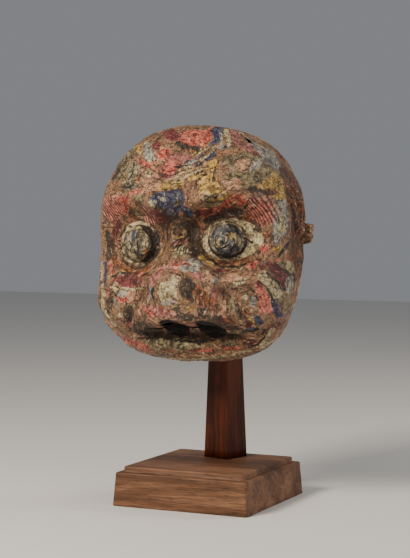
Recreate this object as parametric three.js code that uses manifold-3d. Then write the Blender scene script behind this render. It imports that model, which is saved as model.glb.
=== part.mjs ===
// A papier-mache lion mask, hollow and open at the back, on its wooden display stand.
// The stand is a stepped plinth and a tapering column, and the mask's crown rests on the column's top.
// Millimetres, +Z up, the face looks along -Y. The origin is the middle of the plinth's underside.
import * as THREE from "three";
import { mergeVertices } from "three/addons/utils/BufferGeometryUtils.js";
import Module from "manifold-3d";

const wasm = await Module();
wasm.setup();

// Driving sizes of the mask. Its widest section is where the front meets the back, and lies across Y.
const MASK_WIDTH = 241;
const CROWN_ABOVE_MIDDLE = 133.5; // the middle is the widest section's, at the eyes' height
const CHIN_BELOW_MIDDLE = 151;
const FACE_DEPTH = 88; // from the widest section forward to the flat of the face
const BACK_DEPTH = 110; // how far back the form would close, if it ran on past its rim
const WALL = 6;
const MUZZLE_WALL = 26; // thicker, behind the nose and the mouth
const RIM_BACK_AT_CHIN = 5; // the rim's place behind the widest section
const RIM_BACK_AT_CROWN = 76;
const MASK_ABOVE_PLINTH = 122.8;
const MASK_TURN = 6; // degrees, towards its own left
const MASK_ACROSS = -7; // the middle's place from the plinth's middle
const MASK_BACK = -12;

// Driving sizes of the stand.
const PLINTH_SIDE = 175;
const PLINTH_HEIGHT = 40;
const PLINTH_BATTER = 2.4; // how far each side leans in over that height
const STEP_INSET = 7.6;
const STEP_HEIGHT = 6.7;
const EDGE_ROUND = 1.6;
const CORNER_ROUND = 3;
const COLUMN_FOOT = 38;
const COLUMN_TAPER = 0.06; // width lost for each millimetre of height
const COLUMN_ACROSS = 2;
const COLUMN_BACK = 42;
const COLUMN_TURN = -17; // degrees
const JOINT_GAP = 0.3; // between pieces that touch

// Exponents that shape the plain form: 2 would be an ellipse, and a larger number is squarer.
const CROWN_ROUNDNESS = 2.25;
const CHIN_ROUNDNESS = 3.15;
const FRONT_ROUNDNESS = 2.6;
const BACK_ROUNDNESS = 4.3;

const HALF_WIDTH = MASK_WIDTH / 2;
const STEP_TOP = PLINTH_HEIGHT + STEP_HEIGHT;
const MASK_MIDDLE_Z = STEP_TOP + MASK_ABOVE_PLINTH + CHIN_BELOW_MIDDLE;
const radians = THREE.MathUtils.degToRad;

// The carving. Its places and sizes are shares of the half width, x to the mask's left and z up
// from the middle, and the heights that its functions return are shares of the half width too.
const EYES = [
  { side: -1, x: -0.445, z: -0.073, ball: 0.18 },
  { side: 1, x: 0.468, z: -0.025, ball: 0.168 },
];
const EYE_SOCKET = 0.16;
const NOSE = { x: 0.105, root: 0.03, tip: -0.46, foot: -0.9, height: 0.27 };
const MOUTH = { x: 0.11, z: -0.985, curve: 0.12, half: 0.7, open: 0.45, gape: 0.02 };
const NOSTRILS = [
  { x: -0.03, z: -0.88, wide: 0.105, high: 0.085 },
  { x: 0.33, z: -0.88, wide: 0.125, high: 0.085 },
];
const PASSAGE_SLANT = 40; // degrees that the nostrils and the mouth rise inwards
const MUZZLE = { z: -0.8, wide: 0.8, high: 0.55 };
const THIRD_EYE = { x: 0.01, z: 0.04, r: 0.11 };
const EAR = { y: 0.05, z: 0.24, deep: 0.15, high: 0.25, tab: 0.2 };
const CROWN_HOLE = { x: 0.57, y: -0.17, wide: 0.05, deep: 0.022 };

const mix = THREE.MathUtils.lerp;
function smooth(from, to, v) {
  const t = THREE.MathUtils.clamp((v - from) / (to - from), 0, 1);
  return t * t * (3 - 2 * t);
}
const bell = (distance, width) => Math.exp(-((distance / width) ** 2));
function dome(x, z, cx, cz, rx, rz) {
  const q = ((x - cx) / rx) ** 2 + ((z - cz) / rz) ** 2;
  return q < 1 ? (1 - q) ** 2 : 0;
}

// A broad nose: a narrow root that swells to a round tip with wings, over two muzzle pads.
function nose(x, z) {
  const dx = Math.abs(x - NOSE.x);
  const swell = smooth(NOSE.root, NOSE.tip, z);
  const ends = smooth(NOSE.foot, NOSE.foot + 0.22, z) * smooth(NOSE.root, NOSE.root - 0.17, z);
  const height = mix(0.33, 1, swell) * ends * NOSE.height;
  const width = mix(0.17, 0.38, smooth(NOSE.root - 0.08, NOSE.tip, z));
  const ridge = height * Math.exp(-((dx / width) ** 2.7));
  const wings = 0.05 * dome(dx, z, 0.28, -0.72, 0.2, 0.2);
  const pads = 0.1 * dome(dx, z, 0.5, -0.78, 0.38, 0.3);
  return ridge + wings + pads;
}

// A brow ridge over each eye, an arch that is steep below and soft above.
function brow(ax, z) {
  const crest = 0.2 + 0.2 * Math.sin(Math.PI * Math.min(1, ax)) ** 1.2;
  const ends = smooth(0.04, 0.2, ax) * smooth(0.98, 0.62, ax);
  return 0.1 * ends * bell(z - crest, z < crest ? 0.09 : 0.2);
}

// A deep socket that runs to the outer corner, and in it a round eyeball with a low roll of lid.
function inEye({ side, x: cx, z: cz }, x, z) {
  const out = (x - cx) * side;
  const along = out > 0 ? out / 1.6 : out / 1.15;
  return { out, up: z - cz, along, edge: smooth(0.98, 0.72, Math.abs(x)) };
}
function socket(eye, x, z) {
  const { up, along, edge } = inEye(eye, x, z);
  return -EYE_SOCKET * edge * smooth(0.42, 0.2, Math.hypot(along, up - 0.02));
}
function eyeball(eye, x, z) {
  const { out, up, along, edge } = inEye(eye, x, z);
  const ball = eye.ball * dome(out, up, 0, 0, 1.55 * eye.ball, 1.55 * eye.ball);
  const lid = 0.035 * edge * mix(0.3, 1, smooth(0.1, -0.1, up)) * bell(Math.hypot(along, up) - 0.24, 0.06);
  return ball + lid;
}

// The mouth is a long crease that sags a little in the middle, over a full lower lip.
const mouthLine = (x) => MOUTH.z + MOUTH.curve * (x - MOUTH.x) ** 2;
function mouth(x, z) {
  const dx = Math.abs(x - MOUTH.x);
  const below = z - mouthLine(x);
  const crease = -0.08 * smooth(MOUTH.half, MOUTH.half - 0.27, dx) * bell(below, 0.045);
  const lip = 0.025 * smooth(1, 0.5, dx) * bell(below + 0.13, 0.1);
  return crease + lip;
}

// Round cheeks with tufts of fur, curved bands that fan out from the corner of the mouth.
function cheek(ax, z) {
  const swell = 0.08 * dome(ax, z, 0.74, -0.6, 0.36, 0.46);
  const around = Math.atan2(z + 1.03, ax - 0.28);
  const out = Math.hypot(ax - 0.28, z + 1.03);
  const bands = 0.012 * Math.cos(around * 15) * bell(out - 0.6, 0.15) * smooth(0.5, 0.62, ax);
  return swell + bands;
}

// Two domes on the forehead, the broad one on the mask's right, and frowning knots between the brows.
function forehead(x, z) {
  const broad = 0.07 * dome(x, z, -0.2, 0.7, 0.6, 0.42);
  const small = 0.065 * dome(x, z, 0.5, 0.6, 0.42, 0.34);
  const rightKnot = 0.07 * dome(x, z, -0.13, 0.31, 0.3, 0.2);
  const leftKnot = 0.055 * dome(x, z, 0.24, 0.34, 0.28, 0.17);
  const valley = 0.05 * dome(x, z, 0.02, 0.1, 0.25, 0.2);
  return broad + small + rightKnot + leftKnot - valley;
}

function thirdEye(x, z) {
  const d = Math.hypot(x - THIRD_EYE.x, z - THIRD_EYE.z) / THIRD_EYE.r;
  return 0.03 * smooth(1.2, 0.75, d);
}

// A low ear on each side: a rim round a hollow, with a tab behind its lower end.
function ear(y, z) {
  const r = Math.hypot((y - EAR.y) / EAR.deep, (z - EAR.z) / EAR.high);
  const rim = 0.055 * bell(r - 0.7, 0.45);
  const tab = 0.1 * Math.sqrt(dome(y, z, EAR.y + EAR.tab, EAR.z - 0.22, 0.1, 0.12));
  return Math.max(rim, tab);
}

// How far the skin stands out from the plain form at a point of that form. The inner skin follows
// the broad carving alone, a little smoother, and stays well behind the nose and the mouth.
const INNER_SHARE = 0.85;
function relief(point, isInner) {
  const x = point.x / HALF_WIDTH;
  const y = point.y / HALF_WIDTH;
  const z = point.z / HALF_WIDTH;
  const ax = Math.abs(x);
  const front = smooth(0, -0.3, y);
  let height = forehead(x, z) + brow(ax, z) + cheek(ax, z);
  for (const eye of EYES) height += socket(eye, x, z);
  if (isInner) {
    const plug = (MUZZLE_WALL - WALL) * Math.sqrt(dome(x, z, NOSE.x, MUZZLE.z, MUZZLE.wide, MUZZLE.high));
    return front * (HALF_WIDTH * INNER_SHARE * height - plug) - WALL;
  }
  for (const eye of EYES) height += eyeball(eye, x, z);
  height += nose(x, z) + mouth(x, z);
  height = front * (height + thirdEye(x, z)) + (1 - front) * ear(y, z) * smooth(0.8, 0.95, ax);
  return HALF_WIDTH * height;
}

// The plain form is a squarish ball. This gives its point at an angle round the face and an angle
// back from the nose, and the way its surface looks there.
function plainForm(around, back) {
  const c = Math.cos(around);
  const s = Math.sin(around);
  const n = s > 0 ? CROWN_ROUNDNESS : CHIN_ROUNDNESS;
  const m = back < Math.PI / 2 ? FRONT_ROUNDNESS : BACK_ROUNDNESS;
  const halfHeight = s > 0 ? CROWN_ABOVE_MIDDLE : CHIN_BELOW_MIDDLE;
  const depth = back < Math.PI / 2 ? FACE_DEPTH : BACK_DEPTH;
  const reach = (Math.abs(c) ** n + Math.abs(s) ** n) ** (-1 / n);
  const shrink = (Math.sin(back) ** m + Math.abs(Math.cos(back)) ** m) ** (-1 / m);
  const wide = Math.sin(back) * shrink;
  const point = new THREE.Vector3(
    HALF_WIDTH * c * reach * wide,
    -depth * Math.cos(back) * shrink,
    halfHeight * s * reach * wide,
  );
  const lean = (v, half, power) => (Math.sign(v) * Math.abs(v / half) ** (power - 1)) / half;
  const pull = Math.max(wide, 1e-6) ** (m - n);
  const normal = new THREE.Vector3(
    pull * lean(point.x, HALF_WIDTH, n),
    lean(point.y, depth, m),
    pull * lean(point.z, halfHeight, n),
  );
  return { point, normal: normal.normalize() };
}

// The rim leans back from the chin to the crown. This is its angle back, found by halving.
function rimAngle(around) {
  const tall = CROWN_ABOVE_MIDDLE + CHIN_BELOW_MIDDLE;
  let low = Math.PI / 4;
  let high = Math.PI;
  for (let i = 0; i < 40; i++) {
    const middle = (low + high) / 2;
    const { point } = plainForm(around, middle);
    const rim = mix(RIM_BACK_AT_CHIN, RIM_BACK_AT_CROWN, (point.z + CHIN_BELOW_MIDDLE) / tall);
    if (point.y < rim) low = middle;
    else high = middle;
  }
  return low;
}

// The angle back that lies a share of the way over the form from its nose to its rim.
const WALK_STEPS = 40;
function angleAt(around, share) {
  const rim = rimAngle(around);
  const lengths = [0];
  let before = plainForm(around, 0).point;
  for (let i = 1; i <= WALK_STEPS; i++) {
    const { point } = plainForm(around, (rim * i) / WALK_STEPS);
    lengths.push(lengths[i - 1] + point.distanceTo(before));
    before = point;
  }
  const wanted = share * lengths[WALK_STEPS];
  let i = 1;
  while (i < WALK_STEPS && lengths[i] < wanted) i++;
  const within = (wanted - lengths[i - 1]) / (lengths[i] - lengths[i - 1]);
  return (rim * (i - 1 + within)) / WALK_STEPS;
}

// A skin over the form, from its nose to its rim, as a square net of points pressed to a disc.
const NOSE_CROWDING = 1.3; // above 1 the net's cells are smaller on the face than at the rim
function skin(cells, offset) {
  const points = [];
  for (let j = 0; j <= cells; j++)
    for (let i = 0; i <= cells; i++) {
      const s = (2 * i) / cells - 1;
      const t = (2 * j) / cells - 1;
      const a = s * Math.sqrt(1 - (t * t) / 2);
      const b = t * Math.sqrt(1 - (s * s) / 2);
      const share = Math.min(1, Math.hypot(a, b)) ** NOSE_CROWDING;
      const around = Math.atan2(b, a);
      const { point, normal } = plainForm(around, angleAt(around, share));
      points.push(point.clone().addScaledVector(normal, offset(point)));
    }
  return points;
}

// The numbers of a net's border points, one after the other, anticlockwise as seen from the front.
function border(cells) {
  const at = (i, j) => j * (cells + 1) + i;
  const ring = [];
  for (let i = 0; i < cells; i++) ring.push(at(i, 0));
  for (let j = 0; j < cells; j++) ring.push(at(cells, j));
  for (let i = cells; i > 0; i--) ring.push(at(i, cells));
  for (let j = cells; j > 0; j--) ring.push(at(0, j));
  return ring;
}

// A shell between two skins: a fine outer one, a coarser inner one, and a strip along the rim.
const INNER_CELLS = 21;
const FINENESS = 3; // outer cells for each inner one
const OUTER_CELLS = FINENESS * INNER_CELLS;
function shell(outerOffset, innerOffset) {
  const outer = skin(OUTER_CELLS, outerOffset);
  const inner = skin(INNER_CELLS, innerOffset);
  const faces = [];
  const net = (cells, first, inward) => {
    for (let j = 0; j < cells; j++)
      for (let i = 0; i < cells; i++) {
        const a = first + j * (cells + 1) + i;
        const b = a + 1;
        const c = b + cells + 1;
        const d = a + cells + 1;
        if (inward) faces.push(a, c, b, a, d, c);
        else faces.push(a, b, c, a, c, d);
      }
  };
  net(OUTER_CELLS, 0, false);
  net(INNER_CELLS, outer.length, true);
  const wide = border(OUTER_CELLS);
  const narrow = border(INNER_CELLS).map((v) => v + outer.length);
  for (let k = 0; k < narrow.length; k++) {
    const here = narrow[k];
    const next = narrow[(k + 1) % narrow.length];
    for (let f = 0; f < FINENESS; f++) {
      const w = wide[FINENESS * k + f];
      const onward = wide[(FINENESS * k + f + 1) % wide.length];
      faces.push(w, 2 * f < FINENESS ? here : next, onward);
    }
    faces.push(wide[FINENESS * k + Math.ceil(FINENESS / 2)], here, next);
  }
  return solidFrom([...outer, ...inner], faces);
}

function solidFrom(points, faces) {
  return new wasm.Manifold(
    new wasm.Mesh({
      numProp: 3,
      vertProperties: new Float32Array(points.flatMap((p) => [p.x, p.y, p.z])),
      triVerts: new Uint32Array(faces),
    }),
  );
}

// A three.js shape as a solid, and a solid back as a three.js shape.
function solidOf(geometry) {
  const bare = geometry.clone();
  bare.deleteAttribute("normal");
  bare.deleteAttribute("uv");
  const merged = mergeVertices(bare, 1e-3);
  return new wasm.Manifold(
    new wasm.Mesh({
      numProp: 3,
      vertProperties: new Float32Array(merged.attributes.position.array),
      triVerts: new Uint32Array(merged.index.array),
    }),
  );
}
function shapeOf(solid) {
  const mesh = solid.getMesh();
  const geometry = new THREE.BufferGeometry();
  geometry.setAttribute("position", new THREE.BufferAttribute(mesh.vertProperties, 3));
  geometry.setIndex(new THREE.BufferAttribute(mesh.triVerts, 1));
  const flat = geometry.toNonIndexed();
  flat.computeVertexNormals();
  return flat;
}

// The holes: two nostrils under the nose, the mouth's open middle, and a worn hole in the crown.
// The wearer looks down through the nostrils and the mouth, and nobody sees in.
const slant = (hole, x, z) =>
  hole.rotateX(radians(PASSAGE_SLANT)).translate(HALF_WIDTH * x, -FACE_DEPTH, HALF_WIDTH * z);
function nostrilHole({ x, z, wide, high }) {
  const hole = new THREE.SphereGeometry(HALF_WIDTH, 16, 12);
  hole.scale(wide, 0.5, high);
  return solidOf(slant(hole, x, z));
}
function mouthHole() {
  const steps = 10;
  const lower = [];
  const upper = [];
  for (let i = 0; i <= steps; i++) {
    const share = (2 * i) / steps - 1;
    const x = MOUTH.open * share;
    const half = MOUTH.gape * Math.sqrt(1 - 0.96 * share * share);
    const line = mouthLine(MOUTH.x + x) - MOUTH.z;
    lower.push(new THREE.Vector2(x, line - half).multiplyScalar(HALF_WIDTH));
    upper.unshift(new THREE.Vector2(x, line + half).multiplyScalar(HALF_WIDTH));
  }
  const hole = new THREE.ExtrudeGeometry(new THREE.Shape([...lower, ...upper]), {
    depth: FACE_DEPTH,
    bevelEnabled: false,
  });
  hole.rotateX(Math.PI / 2);
  hole.translate(0, FACE_DEPTH / 2, 0);
  return solidOf(slant(hole, MOUTH.x, MOUTH.z));
}
function crownHole() {
  const hole = new THREE.CylinderGeometry(HALF_WIDTH, HALF_WIDTH, CROWN_ABOVE_MIDDLE, 12);
  hole.scale(CROWN_HOLE.wide, 1, CROWN_HOLE.deep);
  hole.rotateX(Math.PI / 2);
  hole.translate(HALF_WIDTH * CROWN_HOLE.x, HALF_WIDTH * CROWN_HOLE.y, CROWN_ABOVE_MIDDLE);
  return solidOf(hole);
}

function maskSolid() {
  const carved = shell(
    (p) => relief(p, false),
    (p) => relief(p, true),
  );
  const holes = [...NOSTRILS.map(nostrilHole), mouthHole(), crownHole()];
  return holes.reduce((solid, hole) => solid.subtract(hole), carved);
}

// A stack of squares with round corners, one above the other, closed at both ends.
const CORNER_STEPS = 3;
function stackedSquares(levels) {
  const points = [];
  const faces = [];
  const count = 4 * (CORNER_STEPS + 1);
  for (const { half, z, round } of levels)
    for (let k = 0; k < count; k++) {
      const corner = Math.floor(k / (CORNER_STEPS + 1));
      const turn = ((corner + (k % (CORNER_STEPS + 1)) / CORNER_STEPS) * Math.PI) / 2;
      const cx = (half - round) * (corner === 0 || corner === 3 ? 1 : -1);
      const cy = (half - round) * (corner < 2 ? 1 : -1);
      points.push(new THREE.Vector3(cx + round * Math.cos(turn), cy + round * Math.sin(turn), z));
    }
  for (let l = 0; l + 1 < levels.length; l++)
    for (let k = 0; k < count; k++) {
      const a = l * count + k;
      const b = l * count + ((k + 1) % count);
      faces.push(a, b, b + count, a, b + count, a + count);
    }
  const last = (levels.length - 1) * count;
  for (let k = 1; k + 1 < count; k++) {
    faces.push(0, k + 1, k);
    faces.push(last, last + k, last + k + 1);
  }
  return solidFrom(points, faces);
}

// The plinth is one block with battered sides and a step cut round its top, its edges eased.
function plinthSolid() {
  const foot = PLINTH_SIDE / 2;
  const shoulder = foot - PLINTH_BATTER;
  const step = shoulder - STEP_INSET;
  const round = CORNER_ROUND;
  return stackedSquares([
    { half: foot - EDGE_ROUND, z: 0, round },
    { half: foot, z: EDGE_ROUND, round },
    { half: shoulder, z: PLINTH_HEIGHT - EDGE_ROUND, round },
    { half: shoulder - EDGE_ROUND, z: PLINTH_HEIGHT, round },
    { half: step, z: PLINTH_HEIGHT, round },
    { half: step, z: STEP_TOP - EDGE_ROUND, round },
    { half: step - EDGE_ROUND, z: STEP_TOP, round },
  ]);
}

const CROWN_CUT = 60; // how thick a shell is cut off the column's top
// The column tapers up through the open back of the mask. Its top is cut to the crown's inside.
function columnSolid() {
  const height = MASK_ABOVE_PLINTH + CHIN_BELOW_MIDDLE + CROWN_ABOVE_MIDDLE;
  const half = (z) => (COLUMN_FOOT - COLUMN_TAPER * z) / 2;
  const foot = STEP_TOP + JOINT_GAP;
  const tall = stackedSquares([
    { half: half(0), z: foot, round: EDGE_ROUND },
    { half: half(height), z: foot + height, round: EDGE_ROUND },
  ])
    .rotate([0, 0, COLUMN_TURN])
    .translate([COLUMN_ACROSS, COLUMN_BACK, 0]);
  const crown = shell(
    () => CROWN_CUT,
    (p) => relief(p, true) - JOINT_GAP,
  );
  return tall.subtract(crown.rotate([0, 0, MASK_TURN]).translate([MASK_ACROSS, MASK_BACK, MASK_MIDDLE_Z]));
}

function piece(name, solid, colour, roughness) {
  const material = new THREE.MeshStandardMaterial({ color: colour, roughness, metalness: 0 });
  const mesh = new THREE.Mesh(shapeOf(solid), material);
  mesh.name = name;
  return mesh;
}

const mask = piece("lion_mask", maskSolid(), 0xa5785a, 0.75);
mask.position.set(MASK_ACROSS, MASK_BACK, MASK_MIDDLE_Z);
mask.rotation.z = radians(MASK_TURN);

const stand = new THREE.Group();
stand.add(piece("column", columnSolid(), 0x4f2a18, 0.5));
stand.add(piece("plinth", plinthSolid(), 0x6e4a33, 0.5));

const object = new THREE.Group();
object.add(stand, mask);
export default object;
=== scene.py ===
# %% [markdown]
# # A lion mask on a wooden stand
# A dancer's lion mask, moulded from paper and cloth over a form, then primed and painted many times.
# Its paint has cracked, chipped and darkened. It rests by its crown on a tapering wooden column.
# Everything is in metres in the part's own frame: +Z is up and the face looks along -Y. The mask's
# shape and paint are worked out in its own frame, in millimetres from the middle of its head.

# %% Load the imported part
import math

import bpy
import numpy as np
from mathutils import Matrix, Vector
from mathutils.bvhtree import BVHTree


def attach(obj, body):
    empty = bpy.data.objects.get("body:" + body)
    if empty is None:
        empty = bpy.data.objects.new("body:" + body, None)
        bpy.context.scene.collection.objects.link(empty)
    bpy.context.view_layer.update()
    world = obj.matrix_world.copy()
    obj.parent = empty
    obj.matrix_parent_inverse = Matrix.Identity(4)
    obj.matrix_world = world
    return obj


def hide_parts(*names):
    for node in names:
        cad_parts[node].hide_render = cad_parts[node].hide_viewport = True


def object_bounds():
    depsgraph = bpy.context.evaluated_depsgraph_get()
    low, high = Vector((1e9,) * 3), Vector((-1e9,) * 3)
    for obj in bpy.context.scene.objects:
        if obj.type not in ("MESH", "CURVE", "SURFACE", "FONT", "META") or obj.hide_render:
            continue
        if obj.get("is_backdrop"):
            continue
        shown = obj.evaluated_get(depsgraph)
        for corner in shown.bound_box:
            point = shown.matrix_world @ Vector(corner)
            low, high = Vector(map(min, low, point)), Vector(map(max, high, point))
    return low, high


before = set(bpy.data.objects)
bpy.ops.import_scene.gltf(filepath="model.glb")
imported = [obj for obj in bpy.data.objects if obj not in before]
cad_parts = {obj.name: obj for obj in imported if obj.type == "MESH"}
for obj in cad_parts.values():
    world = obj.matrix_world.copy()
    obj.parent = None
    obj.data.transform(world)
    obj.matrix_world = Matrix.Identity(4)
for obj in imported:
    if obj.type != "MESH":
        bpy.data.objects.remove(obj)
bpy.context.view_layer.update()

MM = 0.001

# %% [markdown]
# ## The camera
# The photograph is taken from a little above the plinth's top and 25 degrees round from its front,
# with a long lens, so that lines hardly converge. Those angles and the distance follow from the
# plinth's seven visible corners.

# %% Camera
CAMERA_AZIMUTH = math.radians(25.08)
CAMERA_ELEVATION = math.radians(2.56)
CAMERA_DISTANCE = 1.9152
LENS_MM = 101.7
LOOK_ACROSS, LOOK_UP = -0.00575, 0.26773

back = Vector((
    math.sin(CAMERA_AZIMUTH) * math.cos(CAMERA_ELEVATION),
    -math.cos(CAMERA_AZIMUTH) * math.cos(CAMERA_ELEVATION),
    math.sin(CAMERA_ELEVATION),
))
right = Vector((math.cos(CAMERA_AZIMUTH), math.sin(CAMERA_AZIMUTH), 0))
camera = bpy.data.objects.new("camera", bpy.data.cameras.new("camera"))
camera.data.lens = LENS_MM
camera.rotation_mode = "QUATERNION"
camera.rotation_quaternion = (-back).to_track_quat("-Z", "Y")
camera.location = back * CAMERA_DISTANCE + right * LOOK_ACROSS + back.cross(right) * LOOK_UP
bpy.context.scene.collection.objects.link(camera)
bpy.context.scene.camera = camera
print("camera at", [round(v, 3) for v in camera.location])

# %% [markdown]
# ## Small tools
# Each shape below is a function of whole numpy arrays. `smooth` goes from 0 to 1 between two values,
# `bell` is a soft ridge round zero and `dome` a soft low hill. `grain` is noise that gives a
# hand-made surface its unevenness, and `chips` breaks a surface into plates like dry mud.

# %% Curves and noise
def smooth(start, end, v):
    """0 before start, 1 after end, and 3t^2 - 2t^3 in between."""
    t = np.clip((v - start) / (end - start), 0, 1)
    return t * t * (3 - 2 * t)


def mix(a, b, share):
    """a, moved by a share of the way to b."""
    return a + (b - a) * share


def bell(distance, width):
    """exp(-(distance / width)^2)"""
    return np.exp(-((distance / width) ** 2))


def dome(x, z, cx, cz, rx, rz):
    """(1 - q)^2 inside an ellipse, where q is the squared share of the way to its edge."""
    q = ((x - cx) / rx) ** 2 + ((z - cz) / rz) ** 2
    return np.clip(1 - q, 0, None) ** 2


def scatter(cell, seed):
    """A number from 0 to 1 for each grid cell, scrambled from the cell's own numbers."""
    mixed = cell[..., 0] * 73856093 ^ cell[..., 1] * 19349663 ^ cell[..., -1] * 83492791 ^ seed * 2654435
    mixed = (mixed ^ mixed >> 13) * 1274126177 & 0x7FFFFFFF
    return (mixed ^ mixed >> 11) / 0x7FFFFFFF


def grain(points, size, seed):
    """Noise from -1 to 1 whose lumps are about size wide: corner values, blended by smooth."""
    p = points / size + 100 + 17.3 * seed
    cell = np.floor(p).astype(np.int64)
    f = p - cell
    f = f * f * (3 - 2 * f)
    total = 0
    for corner in np.ndindex(2, 2, 2):
        weight = np.prod(np.where(corner, f, 1 - f), axis=1)
        total = total + weight * (2 * scatter(cell + np.array(corner), seed) - 1)
    return total


def chips(x, z, size, seed):
    """Plates about size wide round scattered points: how deep inside its plate, and its number."""
    p = np.stack([x, z], -1) / size + 50
    base = np.floor(p).astype(np.int64)
    near, second, own = (np.full(len(p), 9.0) for _ in range(3))
    for step in np.ndindex(3, 3):
        cell = base + np.array(step) - 1
        spot = cell + np.stack([scatter(cell, seed), scatter(cell, seed + 1)], -1)
        d = np.linalg.norm(p - spot, axis=1)
        own = np.where(d < near, scatter(cell, seed + 2), own)
        second = np.minimum(second, np.maximum(d, near))
        near = np.minimum(near, d)
    return (second - near) * size / 2, own


print("smooth at 0.25, 0.5 and 0.75:", smooth(0, 1, np.array([0.25, 0.5, 0.75])))

# %% [markdown]
# ## The mask's plain form
# Before any carving the mask is a squarish ball, like the paper head that a mask maker starts from:
# rounder at the crown than at the chin, and rounder in front than at the sides. A point on it has two
# angles, one round the face and one back from the nose. The form ends at a rim that leans back from
# the chin to the crown, so that the mask covers the top of the wearer's head.

# %% Plain form
HALF_WIDTH = 120.5
CROWN, CHIN = 133.5, 151.0
FRONT_DEPTH, BACK_DEPTH = 88.0, 110.0
RIM_AT_CHIN, RIM_AT_CROWN = 5.0, 76.0
WALL, MUZZLE_WALL = 6.0, 26.0
MASK_PLACE = np.array([-7.0, -12.0, 320.5])
MASK_TURN = math.radians(6)


def plain_form(around, back_angle):
    """A superellipsoid's points and normals: |x/W|^n + |z/H|^n = w^n and w^m + |y/D|^m = 1."""
    c, s = np.cos(around), np.sin(around)
    n = np.where(s > 0, 2.25, 3.15)
    m = np.where(back_angle < np.pi / 2, 2.6, 4.3)
    height = np.where(s > 0, CROWN, CHIN)
    depth = np.where(back_angle < np.pi / 2, FRONT_DEPTH, BACK_DEPTH)
    reach = (np.abs(c) ** n + np.abs(s) ** n) ** (-1 / n)
    shrink = (np.sin(back_angle) ** m + np.abs(np.cos(back_angle)) ** m) ** (-1 / m)
    wide = np.sin(back_angle) * shrink
    x, z = HALF_WIDTH * c * reach * wide, height * s * reach * wide
    y = -depth * np.cos(back_angle) * shrink
    pull = np.maximum(wide, 1e-6) ** (m - n)
    normal = np.stack([
        pull * np.sign(x) * np.abs(x / HALF_WIDTH) ** (n - 1) / HALF_WIDTH,
        np.sign(y) * np.abs(y / depth) ** (m - 1) / depth,
        pull * np.sign(z) * np.abs(z / height) ** (n - 1) / height,
    ], -1)
    return np.stack([x, y, z], -1), normal / np.linalg.norm(normal, axis=-1, keepdims=True)


def rim_angle(around):
    """The angle back at which the form meets its leaning rim, found by halving."""
    low, high = np.full(around.shape, np.pi / 4), np.full(around.shape, np.pi)
    for _ in range(30):
        middle = (low + high) / 2
        point, _normal = plain_form(around, middle)
        rim = mix(RIM_AT_CHIN, RIM_AT_CROWN, (point[..., 2] + CHIN) / (CROWN + CHIN))
        inside = point[..., 1] < rim
        low, high = np.where(inside, middle, low), np.where(inside, high, middle)
    return low


def skin_net(cells, crowding, steps=40):
    """A square net pressed to a disc and laid over the form, even along it from the nose to the rim."""
    t, s = np.meshgrid(np.linspace(-1, 1, cells + 1), np.linspace(-1, 1, cells + 1), indexing="ij")
    a, b = (s * np.sqrt(1 - t * t / 2)).ravel(), (t * np.sqrt(1 - s * s / 2)).ravel()
    around, share = np.arctan2(b, a), np.minimum(1, np.hypot(a, b)) ** crowding
    stops = np.linspace(0, 1, steps + 1) * rim_angle(around)[:, None]
    walk, _normal = plain_form(np.broadcast_to(around[:, None], stops.shape), stops)
    length = np.cumsum(np.linalg.norm(np.diff(walk, axis=1), axis=-1), axis=1)
    length = np.concatenate([np.zeros((len(around), 1)), length], axis=1)
    wanted = share * length[:, -1]
    k = np.clip((length < wanted[:, None]).sum(1), 1, steps)
    row = np.arange(len(around))
    within = (wanted - length[row, k - 1]) / (length[row, k] - length[row, k - 1])
    return plain_form(around, mix(stops[row, k - 1], stops[row, k], within))


print("plain form in mm:", 2 * HALF_WIDTH, "wide,", CROWN + CHIN, "high,", FRONT_DEPTH, "deep in front")

# %% [markdown]
# ## The carving
# The face was modelled in wet paper pulp over the form. Each feature is a height above the plain form,
# in shares of the half width, so the parts simply add up. `x` is to the mask's left and `z` is up.
# The mask isn't quite even: its left eye sits higher, and its nose leans to its left.

# %% Broad forms of the face
# Side, place and ball of each eye.
EYES = ((-1, -0.445, -0.073, 0.18), (1, 0.468, -0.025, 0.168))
NOSE_X, MOUTH_X = 0.105, 0.11


def nose(x, z):
    """A root that swells to a round tip with wings, over two muzzle pads."""
    dx = np.abs(x - NOSE_X)
    ends = smooth(-0.9, -0.68, z) * smooth(0.03, -0.14, z)
    height = mix(0.33, 1, smooth(0.03, -0.46, z)) * ends * 0.27
    width = mix(0.17, 0.38, smooth(-0.05, -0.46, z))
    ridge = height * np.exp(-((dx / width) ** 2.7))
    wings = 0.05 * dome(dx, z, 0.28, -0.72, 0.2, 0.2)
    pads = 0.1 * dome(dx, z, 0.5, -0.78, 0.38, 0.3)
    return ridge + wings + pads


def brow_crest(ax):
    """The crest's height: half a sine wave from the middle of the face to its side, made narrower."""
    return 0.2 + 0.2 * np.sin(np.pi * np.minimum(1, ax)) ** 1.2


def brow(ax, z):
    """An arch over each eye, steep below its crest and soft above."""
    up = z - brow_crest(ax)
    ends = smooth(0.04, 0.2, ax) * smooth(0.98, 0.62, ax)
    return 0.1 * ends * bell(up, np.where(up < 0, 0.075, 0.2))


def in_eye(eye, x, z):
    """How far a point is out, up and along the socket from an eye's middle, and its share of the outline.

    The outline is round on the right eye and an almond, drawn out to the side, on the left one.
    """
    side, cx, cz, _ball = eye
    out, up = (x - cx) * side, z - cz
    along = out / np.where(out > 0, 1.6, 1.15)
    across = along if side > 0 else out / 1.06
    return out, up, along, np.hypot(across, up) + 0.05 * np.abs(across)


def socket(eye, x, z):
    """A bowl as deep as smooth makes it, from its edge to its floor."""
    _out, up, along, _almond = in_eye(eye, x, z)
    return -0.16 * smooth(0.98, 0.72, np.abs(x)) * smooth(0.42, 0.2, np.hypot(along, up - 0.02))


def mouth_line(x):
    """A parabola that rises to both corners of the mouth."""
    return -0.985 + 0.12 * (x - MOUTH_X) ** 2


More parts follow.
